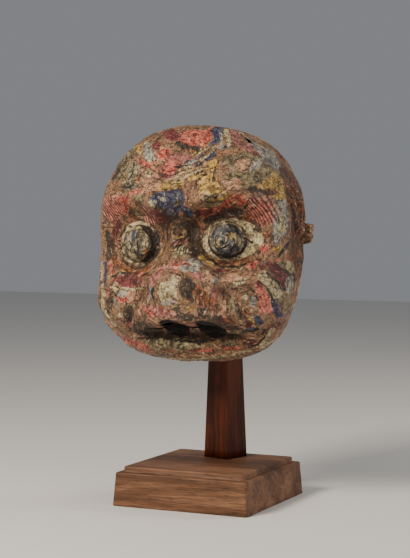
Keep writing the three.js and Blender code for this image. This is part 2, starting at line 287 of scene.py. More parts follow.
def mouth(x, z):
    """A long crease over a full lower lip."""
    dx, below = np.abs(x - MOUTH_X), z - mouth_line(x)
    crease = -0.08 * smooth(0.7, 0.43, dx) * bell(below, 0.04)
    return crease + 0.025 * smooth(1, 0.5, dx) * bell(below + 0.13, 0.1)


def cheek(ax, z):
    """A soft low hill beside the nose."""
    return 0.08 * dome(ax, z, 0.74, -0.6, 0.36, 0.46)


def forehead(x, z):
    """A broad dome and a small one, two frowning knots and the valley between the brows."""
    domes = 0.07 * dome(x, z, -0.2, 0.7, 0.6, 0.42) + 0.065 * dome(x, z, 0.5, 0.6, 0.42, 0.34)
    knots = 0.07 * dome(x, z, -0.13, 0.31, 0.3, 0.2) + 0.055 * dome(x, z, 0.24, 0.34, 0.28, 0.17)
    return domes + knots - 0.05 * dome(x, z, 0.02, 0.1, 0.25, 0.2)


def deep_relief(p):
    """The large forms that the inside follows too, in millimetres."""
    x, y, z = (p / HALF_WIDTH).T
    height = forehead(x, z) + brow(np.abs(x), z) + cheek(np.abs(x), z)
    for eye in EYES:
        height = height + socket(eye, x, z)
    return HALF_WIDTH * smooth(0, -0.3, y) * height


line_across = np.column_stack([np.linspace(-110, 110, 45), np.full(45, -80.0), np.full(45, -4.0)])
print("relief across the eyes in mm:", deep_relief(line_across).round(1)[::4])

# %% [markdown]
# ## Fine modelling
# On top go the parts that the maker added last: eyeballs with rolled lids, the third eye's rings,
# tufts of hair on the cheeks, lumps along the brows, a twisted cord under the painted roundel, curled
# ears, and the dents and wrinkles of old paper.

# %% Fine forms of the face
# Place and half sizes of each nostril.
NOSTRILS = ((-0.03, -0.88, 0.105, 0.085), (0.33, -0.88, 0.125, 0.085))


def eyeball(eye, x, z):
    """A ball that stands in its socket, the white round it, a lid and the bag under it."""
    out, up, _along, almond = in_eye(eye, x, z)
    edge, r = smooth(0.98, 0.72, np.abs(x)), eye[3]
    ball = 0.95 * np.sqrt(np.clip(r ** 2 - out ** 2 - up ** 2, 0, None))
    white = 0.04 * smooth(r + 0.055, r + 0.01, almond)
    lid = 0.04 * edge * mix(0.6, 1, smooth(0.1, -0.1, up)) * bell(almond - r - 0.07, 0.03)
    bag = 0.05 * edge * smooth(-0.02, -0.12, up) * bell(almond - r - 0.13, 0.04)
    return np.maximum(ball, white + lid + bag)


def third_eye(x, z):
    """A low boss with two rings, like a coiled cord."""
    d = np.hypot(x - 0.01, z - 0.04) / 0.11
    rings = 0.01 * np.cos(d * 3 * np.pi) * smooth(1.1, 0.9, d)
    return 0.03 * smooth(1.25, 0.75, d) + rings


def tufts(ax, z):
    """Bands of hair that fan out over the cheek from the corner of the mouth."""
    around, out = np.arctan2(z + 1.03, ax - 0.28), np.hypot(ax - 0.28, z + 1.03)
    bands = np.abs(np.sin(around * 7.5 + 2 * (out - 0.6))) ** 0.5
    return 0.026 * bands * bell(out - 0.6, 0.17) * smooth(0.5, 0.62, ax)


def knots(x, z):
    """Broken plates where the brows meet, and fleshy lumps along the left brow."""
    _depth, plate = chips(x * HALF_WIDTH, z * HALF_WIDTH, 9, 31)
    lumps = 0.045 * plate * dome(x, z, -0.06, 0.33, 0.26, 0.17)
    up = z - brow_crest(np.abs(x)) + 0.02
    folds = np.abs(np.sin(x * 15 + 2 * up)) ** 0.7 * smooth(0.12, 0.25, x) * smooth(0.9, 0.66, x)
    return lumps + 0.045 * folds * bell(up, 0.075)


def cord(x, z):
    """A twisted cord laid in an arc below the roundel."""
    off = z - (0.59 + 0.35 * (x + 0.14) + 0.5 * np.clip(x, 0, None) ** 2)
    twist = 0.75 + 0.25 * np.sin((x + z) * 60)
    return 0.018 * bell(off, 0.028) * smooth(-0.22, -0.1, x) * smooth(0.42, 0.32, x) * twist


def muzzle_creases(x, z):
    """A crease from each wing of the nose to a corner of the mouth, and the hollows of the nostrils."""
    dx = np.abs(x - NOSE_X)
    crease = -0.04 * bell(np.hypot((dx - 0.24) / 0.9, (z + 1.02) / 1.3) - 0.42, 0.035)
    crease = crease * smooth(-1, -0.85, z) * smooth(-0.42, -0.6, z) * smooth(0.3, 0.42, dx)
    pits = [-0.12 * dome(x, z, cx, cz, 1.3 * rx, 1.3 * rz) for cx, cz, rx, rz in NOSTRILS]
    return crease + sum(pits)


def ear(y, z):
    """A curled rim round a hollow, with a square tab behind its lower end."""
    r = np.hypot((y - 0.05) / 0.15, (z - 0.24) / 0.25)
    curl = 0.05 * bell(r - 0.75, 0.32) + 0.01 * np.cos(r * 22) * smooth(1.3, 0.9, r)
    tab = 0.1 * smooth(1.1, 0.85, np.abs((y - 0.25) / 0.075)) * smooth(1.1, 0.85, np.abs((z - 0.02) / 0.1))
    return np.maximum(curl, tab)


# Brush marks and wrinkles run in rings about these forms: place, then size, in millimetres.
SWIRLS = ((56, -3, 34), (-54, -9, 32), (13, -66, 40), (-4, 96, 36), (80, 80, 34), (92, -84, 34),
          (-78, -84, 32), (-16, 40, 22), (46, 44, 22), (-80, 34, 20), (2, 1, 14), (20, -150, 40))


def flow_rings(p):
    """The distance to the nearest swirl, or round the ear at the sides, made unsteady by noise."""
    nearest, flow = np.full(len(p), 9.0), np.zeros(len(p))
    for cx, cz, size in SWIRLS:
        d = np.hypot(p[:, 0] - cx, p[:, 2] - cz)
        flow, nearest = np.where(d / size < nearest, d, flow), np.minimum(nearest, d / size)
    _x, sy, sz = (p / HALF_WIDTH).T
    ear_rings = 34 * np.hypot((sy - 0.05) / 0.6, (sz - 0.1) / 1.2)
    flow = mix(ear_rings, flow, smooth(0.15, -0.2, sy))
    return flow + 7 * grain(p, 28, 70) + 3 * grain(p, 11, 71) + grain(p, 5, 72)


def outer_relief(p):
    """Everything that the outside shows, in millimetres."""
    x, y, z = (p / HALF_WIDTH).T
    ax, front = np.abs(x), smooth(0, -0.3, y)
    height = third_eye(x, z) + tufts(ax, z) + knots(x, z) + cord(x, z) + muzzle_creases(x, z)
    height = height + nose(x, z) + mouth(x, z)
    for eye in EYES:
        height = height + eyeball(eye, x, z)
    height = HALF_WIDTH * (front * height + (1 - front) * ear(y, z) * smooth(0.8, 0.95, ax))
    lane = np.column_stack([flow_rings(p), p[:, 0] / 5, p[:, 2] / 5])
    wrinkles = 0.75 * grain(lane, 4.6, 5) + 0.4 * grain(lane, 2.6, 7)
    _depth, plate = chips(p[:, 0] + 3 * grain(p, 8, 8), p[:, 2] + 3 * grain(p, 8, 9), 11, 6)
    dents = 1.1 * grain(p, 24, 1) + 0.8 * grain(p, 10, 2) + 0.5 * plate * front - 1.7
    return deep_relief(p) + height + dents + wrinkles


def inner_relief(p):
    """The inside follows the large forms loosely, and keeps well behind the nose and the mouth."""
    x, y, z = (p / HALF_WIDTH).T
    plug = (MUZZLE_WALL - WALL) * np.sqrt(dome(x, z, NOSE_X, -0.8, 0.8, 0.55))
    pulp = 0.8 * grain(p, 14, 4) - 0.6
    return 0.85 * deep_relief(p) - smooth(0, -0.3, y) * plug - WALL + pulp


print("outside and inside across the eyes in mm:", outer_relief(line_across).round(1)[::9],
      inner_relief(line_across).round(1)[::9])

# %% [markdown]
# ## From net to shell
# The outer skin has three cells for each cell of the inner one. Between the two borders runs a lip,
# a half round in section, because a paper rim wears round. Then the holes are cut: nostrils, the
# mouth's slit, and the worn hole in the crown. Nostrils and mouth slant up through the thick muzzle.

# %% Mask mesh
OUTER_CELLS, INNER_CELLS = 282, 94
LIP_STEPS = (0.2, 0.5, 0.8)
PASSAGE_SLANT = math.radians(40)


def border(cells):
    """The net's border points in order, anticlockwise as seen from the front."""
    side, n = np.arange(cells), cells + 1
    return np.concatenate([side, side * n + cells, cells * n + cells - side, (cells - side) * n])


def quads_of(cells, first):
    """The net's cells as four corners each, counted from the net's first point."""
    a = first + (np.arange(cells)[:, None] * (cells + 1) + np.arange(cells)).ravel()
    return np.stack([a, a + 1, a + cells + 2, a + cells + 1], -1)


def to_part(p):
    """From the mask's own frame in millimetres to the part's frame in metres."""
    c, s = math.cos(MASK_TURN), math.sin(MASK_TURN)
    turned = np.stack([p[:, 0] * c - p[:, 1] * s, p[:, 0] * s + p[:, 1] * c, p[:, 2]], -1)
    return (turned + MASK_PLACE) * MM


def to_mask(p):
    """From the part's frame in metres back to the mask's own in millimetres."""
    q = p / MM - MASK_PLACE
    c, s = math.cos(MASK_TURN), math.sin(MASK_TURN)
    return np.stack([q[:, 0] * c + q[:, 1] * s, -q[:, 0] * s + q[:, 1] * c, q[:, 2]], -1)


def mesh_object(name, points, faces, slots=None, materials=()):
    """An object from points in metres and lists of corners, shaded smooth."""
    mesh = bpy.data.meshes.new(name)
    mesh.from_pydata(points.tolist(), [], faces)
    for material in materials:
        mesh.materials.append(material)
    if slots is not None:
        mesh.polygons.foreach_set("material_index", slots)
    mesh.shade_smooth()
    mesh.update()
    thing = bpy.data.objects.new(name, mesh)
    bpy.context.scene.collection.objects.link(thing)
    return thing


def build_shell():
    """Form plus normal times relief, outside and inside, joined by a lip: points, faces and slots."""
    outer_form, outer_normal = skin_net(OUTER_CELLS, 1.12)
    inner_form, inner_normal = skin_net(INNER_CELLS, 1.0)
    outer = outer_form + outer_normal * outer_relief(outer_form)[:, None]
    inner = inner_form + inner_normal * inner_relief(inner_form)[:, None]

    wide, narrow = border(OUTER_CELLS), border(INNER_CELLS)
    ratio = OUTER_CELLS // INNER_CELLS
    share = np.tile(np.arange(ratio) / ratio, len(narrow))[:, None]
    near, far = inner[np.repeat(narrow, ratio)], inner[np.repeat(np.roll(narrow, -1), ratio)]
    inner_edge = mix(near, far, share)
    outer_edge = outer[wide]
    across = inner_edge - outer_edge
    along = np.roll(outer_edge, -1, 0) - np.roll(outer_edge, 1, 0)
    past = np.cross(across, along)
    past *= WALL / 2 / np.linalg.norm(past, axis=1, keepdims=True)
    past *= np.sign(past[:, 1:2])
    lip = [outer_edge + across * t + past * math.sin(math.pi * t) for t in LIP_STEPS]

    points = np.concatenate([outer, inner, *lip])
    count, first_lip = len(wide), len(outer) + len(inner)
    rings = [wide] + [first_lip + k * count + np.arange(count) for k in range(len(lip))]
    faces = [quads_of(OUTER_CELLS, 0), quads_of(INNER_CELLS, len(outer))[:, ::-1]]
    for ring, onward in zip(rings, rings[1:]):
        faces.append(np.stack([ring, onward, np.roll(onward, -1), np.roll(ring, -1)], -1))
    # Each edge of the inner border meets three edges of the last lip ring, in one face of six corners.
    last, inner_ring = rings[-1], narrow + len(outer)
    k = np.arange(len(narrow))
    fan = np.stack([last[k * ratio], inner_ring, np.roll(inner_ring, -1),
                    last[(k * ratio + 3) % count], last[k * ratio + 2], last[k * ratio + 1]], -1)
    slots = [0] * len(faces[0]) + [1] * len(faces[1])
    slots += [2] * sum(len(f) for f in faces[2:]) + [1] * len(fan)
    corner_lists = [face for group in faces for face in group.tolist()] + fan.tolist()
    return to_part(points), corner_lists, slots


def ball_points(radii, rows=16, columns=24):
    """A closed ellipsoid round zero: rings of points between two poles."""
    v = np.linspace(0, np.pi, rows + 1)[1:-1, None]
    u = np.linspace(0, 2 * np.pi, columns, endpoint=False)
    ring = np.stack(np.broadcast_arrays(np.sin(v) * np.cos(u), np.sin(v) * np.sin(u), np.cos(v)), -1)
    points = np.concatenate([[[0, 0, 1]], ring.reshape(-1, 3), [[0, 0, -1]]]) * radii
    at = lambda i, j: 1 + i * columns + j % columns
    faces = [[0, at(0, j), at(0, j + 1)] for j in range(columns)]
    faces += [[at(i, j), at(i + 1, j), at(i + 1, j + 1), at(i, j + 1)]
              for i in range(rows - 2) for j in range(columns)]
    last = len(points) - 1
    faces += [[last, at(rows - 2, j + 1), at(rows - 2, j)] for j in range(columns)]
    return points, faces


def slit_points(half, gape, steps=24):
    """A thin lens along the mouth's line, carried straight back."""
    share = np.linspace(-1, 1, steps + 1)
    x = half * share
    line = mouth_line(MOUTH_X + x) - mouth_line(MOUTH_X)
    open_by = gape * np.sqrt(1 - 0.98 * share ** 2)
    loop = np.concatenate([np.stack([x, line - open_by], -1),
                           np.stack([x, line + open_by], -1)[::-1]]) * HALF_WIDTH
    count = len(loop)
    layers = [np.insert(loop, 1, y, axis=1) for y in (-FRONT_DEPTH / 2, FRONT_DEPTH / 2)]
    k = np.arange(count)
    faces = np.stack([k, k + count, (k + 1) % count + count, (k + 1) % count], -1).tolist()
    faces += [k.tolist(), (k[::-1] + count).tolist()]
    return np.concatenate(layers), faces


def slanted(shape, x, z):
    """A shape that rises as it runs in, placed at the flat of the face."""
    points, faces = shape
    c, s = math.cos(PASSAGE_SLANT), math.sin(PASSAGE_SLANT)
    turned = np.stack([points[:, 0], points[:, 1] * c - points[:, 2] * s,
                       points[:, 1] * s + points[:, 2] * c], -1)
    return turned + [x * HALF_WIDTH, -FRONT_DEPTH, z * HALF_WIDTH], faces


HOLES = {"mouth_slit": slanted(slit_points(0.44, 0.014), MOUTH_X, -0.985)}
for number, (x, z, wide, high) in enumerate(NOSTRILS):
    nostril = ball_points(np.array([wide, 0.5, high]) * HALF_WIDTH)
    HOLES[f"nostril_{number}"] = slanted(nostril, x, z)
crown_points, crown_faces = ball_points([7, 4, 15])
HOLES["crown_hole"] = (crown_points + [68.7, -20.5, 112], crown_faces)
print(len(HOLES), "holes")

# %% [markdown]
# ## Colour and node helpers
# Colours are written as sRGB hex, as a paint chart gives them, and one function makes them linear.
# Another adds a node of any kind, sets it and links it, so that each material reads as a recipe.

# %% Helpers for materials
def linear(code):
    """sRGB hex to linear red, green, blue and alpha."""
    s = np.array([int(code[i:i + 2], 16) / 255 for i in (1, 3, 5)])
    rgb = np.where(s <= 0.04045, s / 12.92, ((s + 0.055) / 1.055) ** 2.4)
    return (*rgb.tolist(), 1.0)


def add(tree, kind, inputs=None, stops=(), **settings):
    """Adds a node and gives its outputs. An input is a value, a colour code or another node's output."""
    node = tree.nodes.new("ShaderNode" + kind)
    for name, value in settings.items():
        setattr(node, name, value)
    for place, (at, code) in enumerate(stops):
        if place > 1:
            node.color_ramp.elements.new(at)
        element = node.color_ramp.elements[place]
        element.position, element.color = at, linear(code)
    for name, value in (inputs or {}).items():
        if isinstance(value, bpy.types.NodeSocket):
            tree.links.new(value, node.inputs[name])
        else:
            node.inputs[name].default_value = linear(value) if isinstance(value, str) else value
    return node.outputs


def new_material(name):
    """An empty material, its tree and its shader."""
    material = bpy.data.materials.new(name)
    material.use_nodes = True
    return material, material.node_tree, material.node_tree.nodes["Principled BSDF"]


def per_mm(size):
    """A texture's scale, in metres, for features that are size millimetres apart."""
    return 1 / (size * MM)


COLOUR = {"data_type": "RGBA"}  # a Mix node's colours are then its inputs 6 and 7 and its output 2

# %% [markdown]
# ## The paint
# Pigments in glue over a chalk ground: olive, ochre and sienna earths, coral and crimson, lapis blue and
# its pale tints, cream, umber and lamp black. The painter's patches are listed from the lowest coat to
# the top one, in millimetres across and up from the middle of the face. A blob has its middle, its half
# sizes and its tilt, a stroke has half its width and the points that it runs through, and a panel has
# its corners. Each pigment's depth inside its patches goes into the mesh as an attribute. The material
# compares that depth with noise, so the edges are chipped however far the mesh's points are apart.

# %% Patches of paint
# Painted light among the patches: the umber strokes beside each eye on the nose's side (about x -43 to -27
# and 13 to 26) and under the left brow (x 30 to 71) are painted shade, and the two thin cream strokes along
# the top of the left brow are painted highlight.
PATCHES = """
olive
 panel  -84 66  -88 87  -76 101  -65 110  -52 102  -62 91  -61 81  -63 67  -72 64
 blob 81 78  21.2 22.4 2
 blob 59 89  7.3 4.9 -1
 blob 47 42  11.0 7.6 20
 blob -40 44  9.6 3.7 -4
 stroke 4.8  -53 -99  -42 -105
 stroke 8.4  -41 -128  -13 -126  10 -127
 stroke 3.6  51 -126  64 -122
 blob 116 -78  2.1 19.9 14
 stroke 3.1  115 -30  118 -41
 stroke 2.4  87 97  93 91
 blob 11 -79  7.1 3.5 2
 stroke 2.4  -1 -20  11 -18  22 -22
 stroke 2.9  -63 -78  -52 -80
 blob 69 -76  4.3 6.8 0
 stroke 1.9  -2 -10  7 -13  12 -10
 blob -12 44  3.9 2.4 -44
peach
 blob -28 57  13.4 7.1 -1
 blob 75 82  5.6 7.3 2
 panel  65 62  72 67  78 64  77 53  70 52
 stroke 3.6  99 45  108 48
 blob -76 47  4.4 6.6 1
 blob -58 41  8.8 7.4 0
 stroke 4.8  45 -45  60 -48  75 -43
 stroke 4.8  -39 -86  -26 -96  -9 -96
 stroke 3.6  48 -59  58 -73  64 -89
 stroke 3.6  -96 -103  -82 -129  -56 -142
 blob -55 -70  8.7 8.0 4
 stroke 2.9  -107 -27  -100 -48
 stroke 2.4  -13 -140  25 -140  65 -135
 blob 85 -126  4.3 4.2 -61
 blob 24 -60  3.0 3.3 2
 stroke 3.6  65 -121  83 -112
 blob 40 -69  4.8 9.8 -8
 blob -43 0  4.0 5.2 0
rose
 blob 4 87  20.1 8.9 -9
 blob -10 76  10.8 8.6 0
 stroke 3.6  46 126  63 108
 stroke 3.6  70 105  81 100
 blob 111 59  2.1 7.3 130
 stroke 3.0  93 92  97 85
 blob 12 -31  11.4 5.5 0
 stroke 4.8  -9 -36  -17 -45  -28 -63
 stroke 6.0  -21 -83  -6 -87  6 -89
 blob 24 -100  10.8 3.3 3
 blob -62 -102  11.4 3.6 10
 blob 35 -43  8.3 3.9 -23
 stroke 3.6  52 -59  51 -79
 blob -61 -53  21 9 5
 stroke 2.4  33 -12  35 -21
 blob -86 -65  5.7 3.4 0
 stroke 2.2  38 11  34 -3  34 -16
chalk
 blob -54 -8  26.3 20.7 0
 panel  71 7  83 1  92 -11  80 -19  70 -20  74 -3
 blob -55 60  12.8 8.0 -1
 blob -53 78  7.6 11.7 -10
iris
 blob 56 -3  17.2 19.1 0
ochre
 stroke 4.8  -14 58  -5 59  5 61
 panel  35 76  35 84  45 89  50 80  46 75
 stroke 3.6  18 67  31 71
 panel  32 50  30 69  46 73  52 64  59 52  47 49
 panel  109 44  111 57  110 63  113 54  118 35  117 33  112 41
 panel  92 56  97 66  104 70  110 62  115 46  110 41  103 47
 stroke 3.1  96 88  105 72  110 60
 blob 18 99  2.7 4.8 0
 stroke 3.1  33 -21  42 -28  50 -29
 blob -56 104  4.4 8.5 40
 blob 89 -95  2.1 4.4 17
 stroke 2.4  -35 -42  -57 -42  -69 -39
 blob 28 -80  7.0 2.6 -6
 blob 104 53  5.9 4.7 -14
 stroke 1.2  44 40  56 44  68 48
 blob 110 -14  4.6 2.7 27
 blob 64 1  2.6 3.2 -3
sienna
 stroke 3.6  49 -28  68 -29  81 -25
 blob 102 51  4.2 4.1 3
 blob 84 -85  3.2 4.5 -5
 stroke 4.8  34 -57  40 -66  43 -78
 stroke 3.6  -79 -32  -66 -39  -49 -40  -33 -35
 stroke 2.9  -90 -4  -92 -22  -86 -32
 blob 21 11  6.4 10.4 1
 stroke 2.4  118 -22  119 -37
 blob -37 -21  7.8 4.9 28
 stroke 2.4  -33 -44  -48 -46
 blob 19 36  4.4 4.0 5
 stroke 3.6  -64 25  -57 17  -68 14
 stroke 2.9  49 -72  55 -89
 stroke 3.1  60 -93  69 -95
 stroke 4.1  32 23  49 25  74 23  83 16
 stroke 2.4  86 10  95 3  100 2
coral
 blob 10 115  16.6 10.6 -5
 blob 24 115  7.9 11.9 0
 blob -18 96  9.6 6.3 9
 blob -8 80  8.1 8.9 -1
 stroke 3.1  -46 87  -36 83  -29 78
 panel  -100 37  -84 45  -56 49  -63 32  -85 18  -97 21
 stroke 4.1  34 28  48 32  62 39  70 43
 panel  70 48  83 47  85 41  79 35  67 37
 panel  86 40  92 46  97 42  106 36  106 18  95 13  83 16  78 29
 stroke 2.6  -57 50  -41 53
 blob 96 -13  4.9 5.5 -5
 blob 87 -32  5.8 4.6 1
 panel  91 -53  98 -49  104 -62  109 -75  109 -88  103 -85  97 -72
 blob -67 -74  5.6 3.5 2
 stroke 3.6  -34 -81  -21 -88
 stroke 4.8  -78 -123  -63 -128  -48 -134
 stroke 2.4  20 -133  33 -132
 stroke 2.2  47 -130  67 -129
 blob 101 -81  4.1 5.7 -5
 blob 11 -34  6.9 3.4 -70
 blob -18 22  4.4 5.7 1
 stroke 2.2  -93 -32  -86 -43
 blob -47 -45  5.2 2.6 3
crimson
 blob -18 119  13.3 5.2 -20
 blob -29 106  5.3 5.3 -3
 blob 83 99  2.7 4.8 2
 panel  -47 27  -18 31  -8 29  -7 17  -23 13  -40 15
 stroke 2.9  25 27  38 29
 stroke 1.4  69 38  60 32  45 27
 panel  90 46  94 45  91 31  86 32
 stroke 2.4  97 -36  101 -32
 panel  101 -28  108 -30  117 -41  119 -54  116 -61  111 -50  104 -38
 stroke 2.4  74 -124  84 -122
 stroke 2.9  100 -111  110 -101
 stroke 1.7  8 -134  21 -131
 blob 53 -39  6.0 3.0 -1
 blob 5 -4  4.4 2.9 13
 stroke 2.4  84 -101  87 -98
 stroke 4.2  -84 21  -84 10  -89 3
 blob 96 -54  3.9 3.0 -51
 blob 27 -69  3.9 2.3 -1
 blob 59 -93  4.6 2.9 0
 stroke 1.1  -71 -61  -77 -69
 blob -64 -52  18 7.4 5
lapis
 panel  -25 42  -22 49  -13 52  5 55  14 48  16 38  10 32  3 25  -9 22  -12 28  -17 32  -22 37
 blob 16 29  6.4 6.0 -9
 stroke 4.1  30 125  37 119  39 112
 stroke 2.2  39 113  34 107
 panel  32 88  35 95  42 100  42 91  35 86
 stroke 2.6  11 85  21 87
 stroke 1.4  22 89  29 94
 stroke 1.4  -46 106  -43 94
 blob -31 91  4.0 4.0 0
 stroke 1.9  113 25  117 30  118 33
 stroke 1.2  110 14  113 17  116 17  118 12
 stroke 2.2  108 -6  111 1  114 3
 stroke 1.1  110 42  112 34
 stroke 1.2  108 24  107 10
 panel  92 -87  98 -90  102 -97  96 -102  92 -98
 blob 77 -108  1.9 3.4 -1
 stroke 1.4  86 -105  92 -105
 stroke 1.9  110 -73  112 -91
 blob 50 103  2.2 2.4 -34
 stroke 1.9  102 80  107 70
 blob -24 -61  5.1 3.2 3
 stroke 2.2  -99 -32  -91 -57
 blob 98 -42  2.2 2.1 1
 blob -54 2  2.8 7.4 9
lavender
 panel  -53 108  -43 112  -34 100  -27 89  -33 87  -42 91
 stroke 1.9  -47 109  -43 95
 stroke 1.7  7 80  16 86  25 90
 stroke 1.4  39 120  45 110  46 103
 stroke 1.9  96 86  105 73
 panel  107 42  116 42  119 28  119 12  115 3  109 -8  104 1  106 22
 stroke 1.9  -8 -75  0 -75  7 -72
 stroke 2.4  -25 -58  -28 -72
 stroke 2.4  -80 -74  -76 -81
 blob -69 -67  5.7 3.1 3
 panel  89 -67  93 -68  95 -77  92 -81  88 -76
 stroke 1.7  96 -41  101 -45
 stroke 3.6  65 118  83 103  98 85
 blob 53 -49  3.7 3.3 -2
 stroke 1.9  70 -6  71 -15
 stroke 3.6  24 -26  34 -32
 stroke 3.6  19 -35  32 -36
 blob -62 -90  2.0 1.4 7
 stroke 2.2  119 -46  118 -64
 blob 87 82  4.0 7.0 2
 blob -68 -3  6.9 5.1 0
 blob 57 3  5.1 2.4 4
 stroke 1.6  40 -3  42 -11  46 -15
 blob 4 36  5.0 2.9 -2
 stroke 1.4  -15 46  -9 42
 stroke 1.4  -22 41  -17 35
cream
 stroke 1.8  40 125  49 115  56 103
 stroke 1.9  51 123  55 123  64 118
 stroke 1.4  -10 63  7 73  20 79
 stroke 1.4  -4 59  14 70  32 78
 stroke 1.0  4 77  17 83
 stroke 1.3  21 94  28 100  41 103
 stroke 1.3  27 87  35 93  40 100
 blob -33 74  3.8 5.8 0
 stroke 1.9  -79 -3  -71 7  -56 12  -42 10
 panel  -13 -61  -9 -53  1 -48  9 -42  14 -45  14 -56  12 -67  2 -71  -7 -74  -12 -69
 stroke 5.0  99 -44  105 -53  110 -66
 stroke 2.2  80 -50  72 -54
 panel  84 -60  86 -69  85 -76  82 -76  80 -68
 stroke 1.6  34 -16  34 -5  38 8  47 16  59 17  68 15  73 8
 blob 83 -6  8.0 7.8 -18
 blob 31 -1  3.9 3.3 7
 stroke 1.7  86 -129  98 -116  106 -106
 stroke 1.4  -39 -145  1 -146  52 -139  75 -133
 stroke 1.4  -77 -53  -69 -60  -57 -62  -41 -59
 blob 113 9  3.2 4.5 -1
 blob -71 -92  2.9 3.5 3
 stroke 1.2  111 43  116 42
 blob -27 91  2.5 3.6 -1
 stroke 1.8  117 -30  119 -46
 stroke 2.9  -108 -32  -97 -63  -97 -87  -86 -105
 stroke 1.9  0 -125  22 -127
 blob -39 -8  3.1 2.5 0
 blob -62 -21  10.2 3.4 -10
 panel  44 -7  49 1  51 -6  53 -13  47 -12
 stroke 1.1  52 -11  58 -13  61 -10
 stroke 1.2  67 4  70 -3  69 -9
 blob 52 -3  3.4 2.0 30
 stroke 0.9  57 4  60 -1  59 -6
 blob 12 -15  8.5 4.4 -12
 stroke 0.9  36 33  47 36  58 41
 stroke 0.8  62 36  72 41
 blob 113 20  2.4 5.5 0
 blob 108 33  2.2 4.5 20
umber
 panel  15 -50  22 -44  30 -48  36 -55  31 -61  28 -69  21 -70  16 -61
 panel  8 -89  16 -85  30 -87  36 -92  25 -96  10 -94
 blob 39 -83  4.5 5.7 1
 stroke 2.9  -3 108  9 104  19 102
 stroke 1.9  87 55  95 53  100 50
 panel  -68 -92  -62 -79  -54 -81  -52 -91  -56 -99  -67 -100
 stroke 4.1  -53 -104  -55 -112
 blob -84 73  8 5 50
 blob -86 -78  5 7 0
 blob 22 -123  7 3 0
 blob -41 -109  9.2 11.7 2
 stroke 2.9  43 -89  59 -91
 stroke 3.1  52 -99  63 -102  76 -105
 blob 71 -58  4.7 3.1 -25
 stroke 1.9  76 -82  78 -89
 stroke 4.8  -99 3  -95 -13  -97 -24
 stroke 5.3  17 14  21 -4  26 -18
 stroke 3.1  30 18  40 22  54 24
 stroke 3.6  54 28  71 30
 stroke 3.1  -43 -31  -33 -23  -27 -16
 stroke 3.1  -31 6  -28 -9
 blob 74 -3  1.7 4.1 23
 stroke 1.2  26 73  27 55
 stroke 1.2  46 73  50 52
 stroke 2.4  -9 31  -23 35
 stroke 3.6  -52 -114  -24 -109
 stroke 1.7  102 80  107 69
 blob 12 -83  4.7 2.4 2
 stroke 1.2  87 9  95 3  101 1
 stroke 3.6  13 14  17 0  23 -14
 blob 7 39  6.8 3.0 0
ink
 stroke 1.2  31 71  37 71
 stroke 0.6  7 -10  7 -18
 stroke 0.6  10 -10  10 -19
 stroke 0.6  13 -11  14 -19
 stroke 0.6  16 -12  17 -20
 stroke 1.1  13 23  21 19
 stroke 1.1  76 32  83 38  87 45
 stroke 1.0  -1 80  12 82
 stroke 1.1  40 -26  53 -34  71 -34  83 -29
 stroke 1.0  102 -41  111 -52  116 -62
 stroke 1.0  108 -30  115 -39  119 -48  119 -55
 stroke 1.0  95 -50  102 -57  107 -67  109 -79
 stroke 1.0  89 -58  94 -68  97 -72
 stroke 0.8  87 -83  90 -95
 stroke 1.0  75 -129  85 -125  96 -115
 stroke 1.1  -21 -58  -23 -65  -20 -71  -16 -79
 stroke 0.8  -48 -5  -47 -16  -51 -26
 stroke 0.8  -79 -7  -80 -17  -73 -25  -61 -28
 stroke 1.0  -83 -48  -74 -42  -58 -44
 stroke 1.1  -43 -46  -36 -43  -32 -41
 stroke 1.3  -56 -120  -40 -120  -21 -118
 stroke 1.2  -20 -120  -3 -123  22 -122  38 -120
 stroke 1.1  74 -1  83 -7
 stroke 1.0  111 -23  114 -15  116 -12  120 0
 stroke 0.8  115 -13  119 -16
 stroke 0.7  -71 -61  -77 -69
 stroke 0.7  -41 110  -38 103
 stroke 1.7  0 32  9 36
 stroke 1.4  82 -106  87 -108  93 -105
 stroke 1.0  -58 66  -55 74  -56 85
 stroke 1.0  -65 58  -56 56  -50 61
 stroke 1.0  38 34  44 32
 stroke 1.4  83 9  89 7
 stroke 1.2  93 -113  100 -106
 stroke 0.7  -71 1  -67 -6  -70 -12
 stroke 1.0  -64 -11  -65 -19
 stroke 0.7  -59 -3  -55 -12  -58 -17
 stroke 1.0  -77 -28  -67 -33
 stroke 0.8  -64 3  -68 -3
 stroke 0.8  -75 -9  -68 -17  -72 -20
 stroke 0.8  -52 -13  -51 -21
 stroke 1.0  -35 -2  -32 -14  -37 -21
"""


def distance_to_line(x, z, points):
    """The distance to a line through the points."""
    nearest = np.full(len(x), np.inf)
    for (ax, az), (bx, bz) in zip(points, points[1:]):
        t = ((x - ax) * (bx - ax) + (z - az) * (bz - az)) / max((bx - ax) ** 2 + (bz - az) ** 2, 1e-6)
        t = np.clip(t, 0, 1)
        nearest = np.minimum(nearest, np.hypot(x - ax - t * (bx - ax), z - az - t * (bz - az)))
    return nearest


def blob(x, z, cx, cz, rx, rz, tilt):
    """Depth inside an ellipse: its smaller radius times one less the share of the way out."""
    c, s = math.cos(math.radians(tilt)), math.sin(math.radians(tilt))
    u, v = (x - cx) * c + (z - cz) * s, (z - cz) * c - (x - cx) * s
    return (1 - np.hypot(u / rx, v / rz)) * min(rx, rz)


def stroke(x, z, half, *places):
    """Depth inside a brush stroke: half its width less the distance to the line it follows."""
    return half - distance_to_line(x, z, np.reshape(places, (-1, 2)))


def panel(x, z, *places):
    """Depth inside a closed outline: the distance to it, less than nothing outside."""
    corners = np.reshape(places, (-1, 2))
    onward = np.roll(corners, -1, 0)
    crossed = np.zeros(len(x), bool)
    for (ax, az), (bx, bz) in zip(corners, onward):
        if az != bz:
            crossed ^= ((az > z) != (bz > z)) & (x < (bx - ax) * (z - az) / (bz - az) + ax)
    return np.where(crossed, 1, -1) * distance_to_line(x, z, np.concatenate([corners, corners[:1]]))


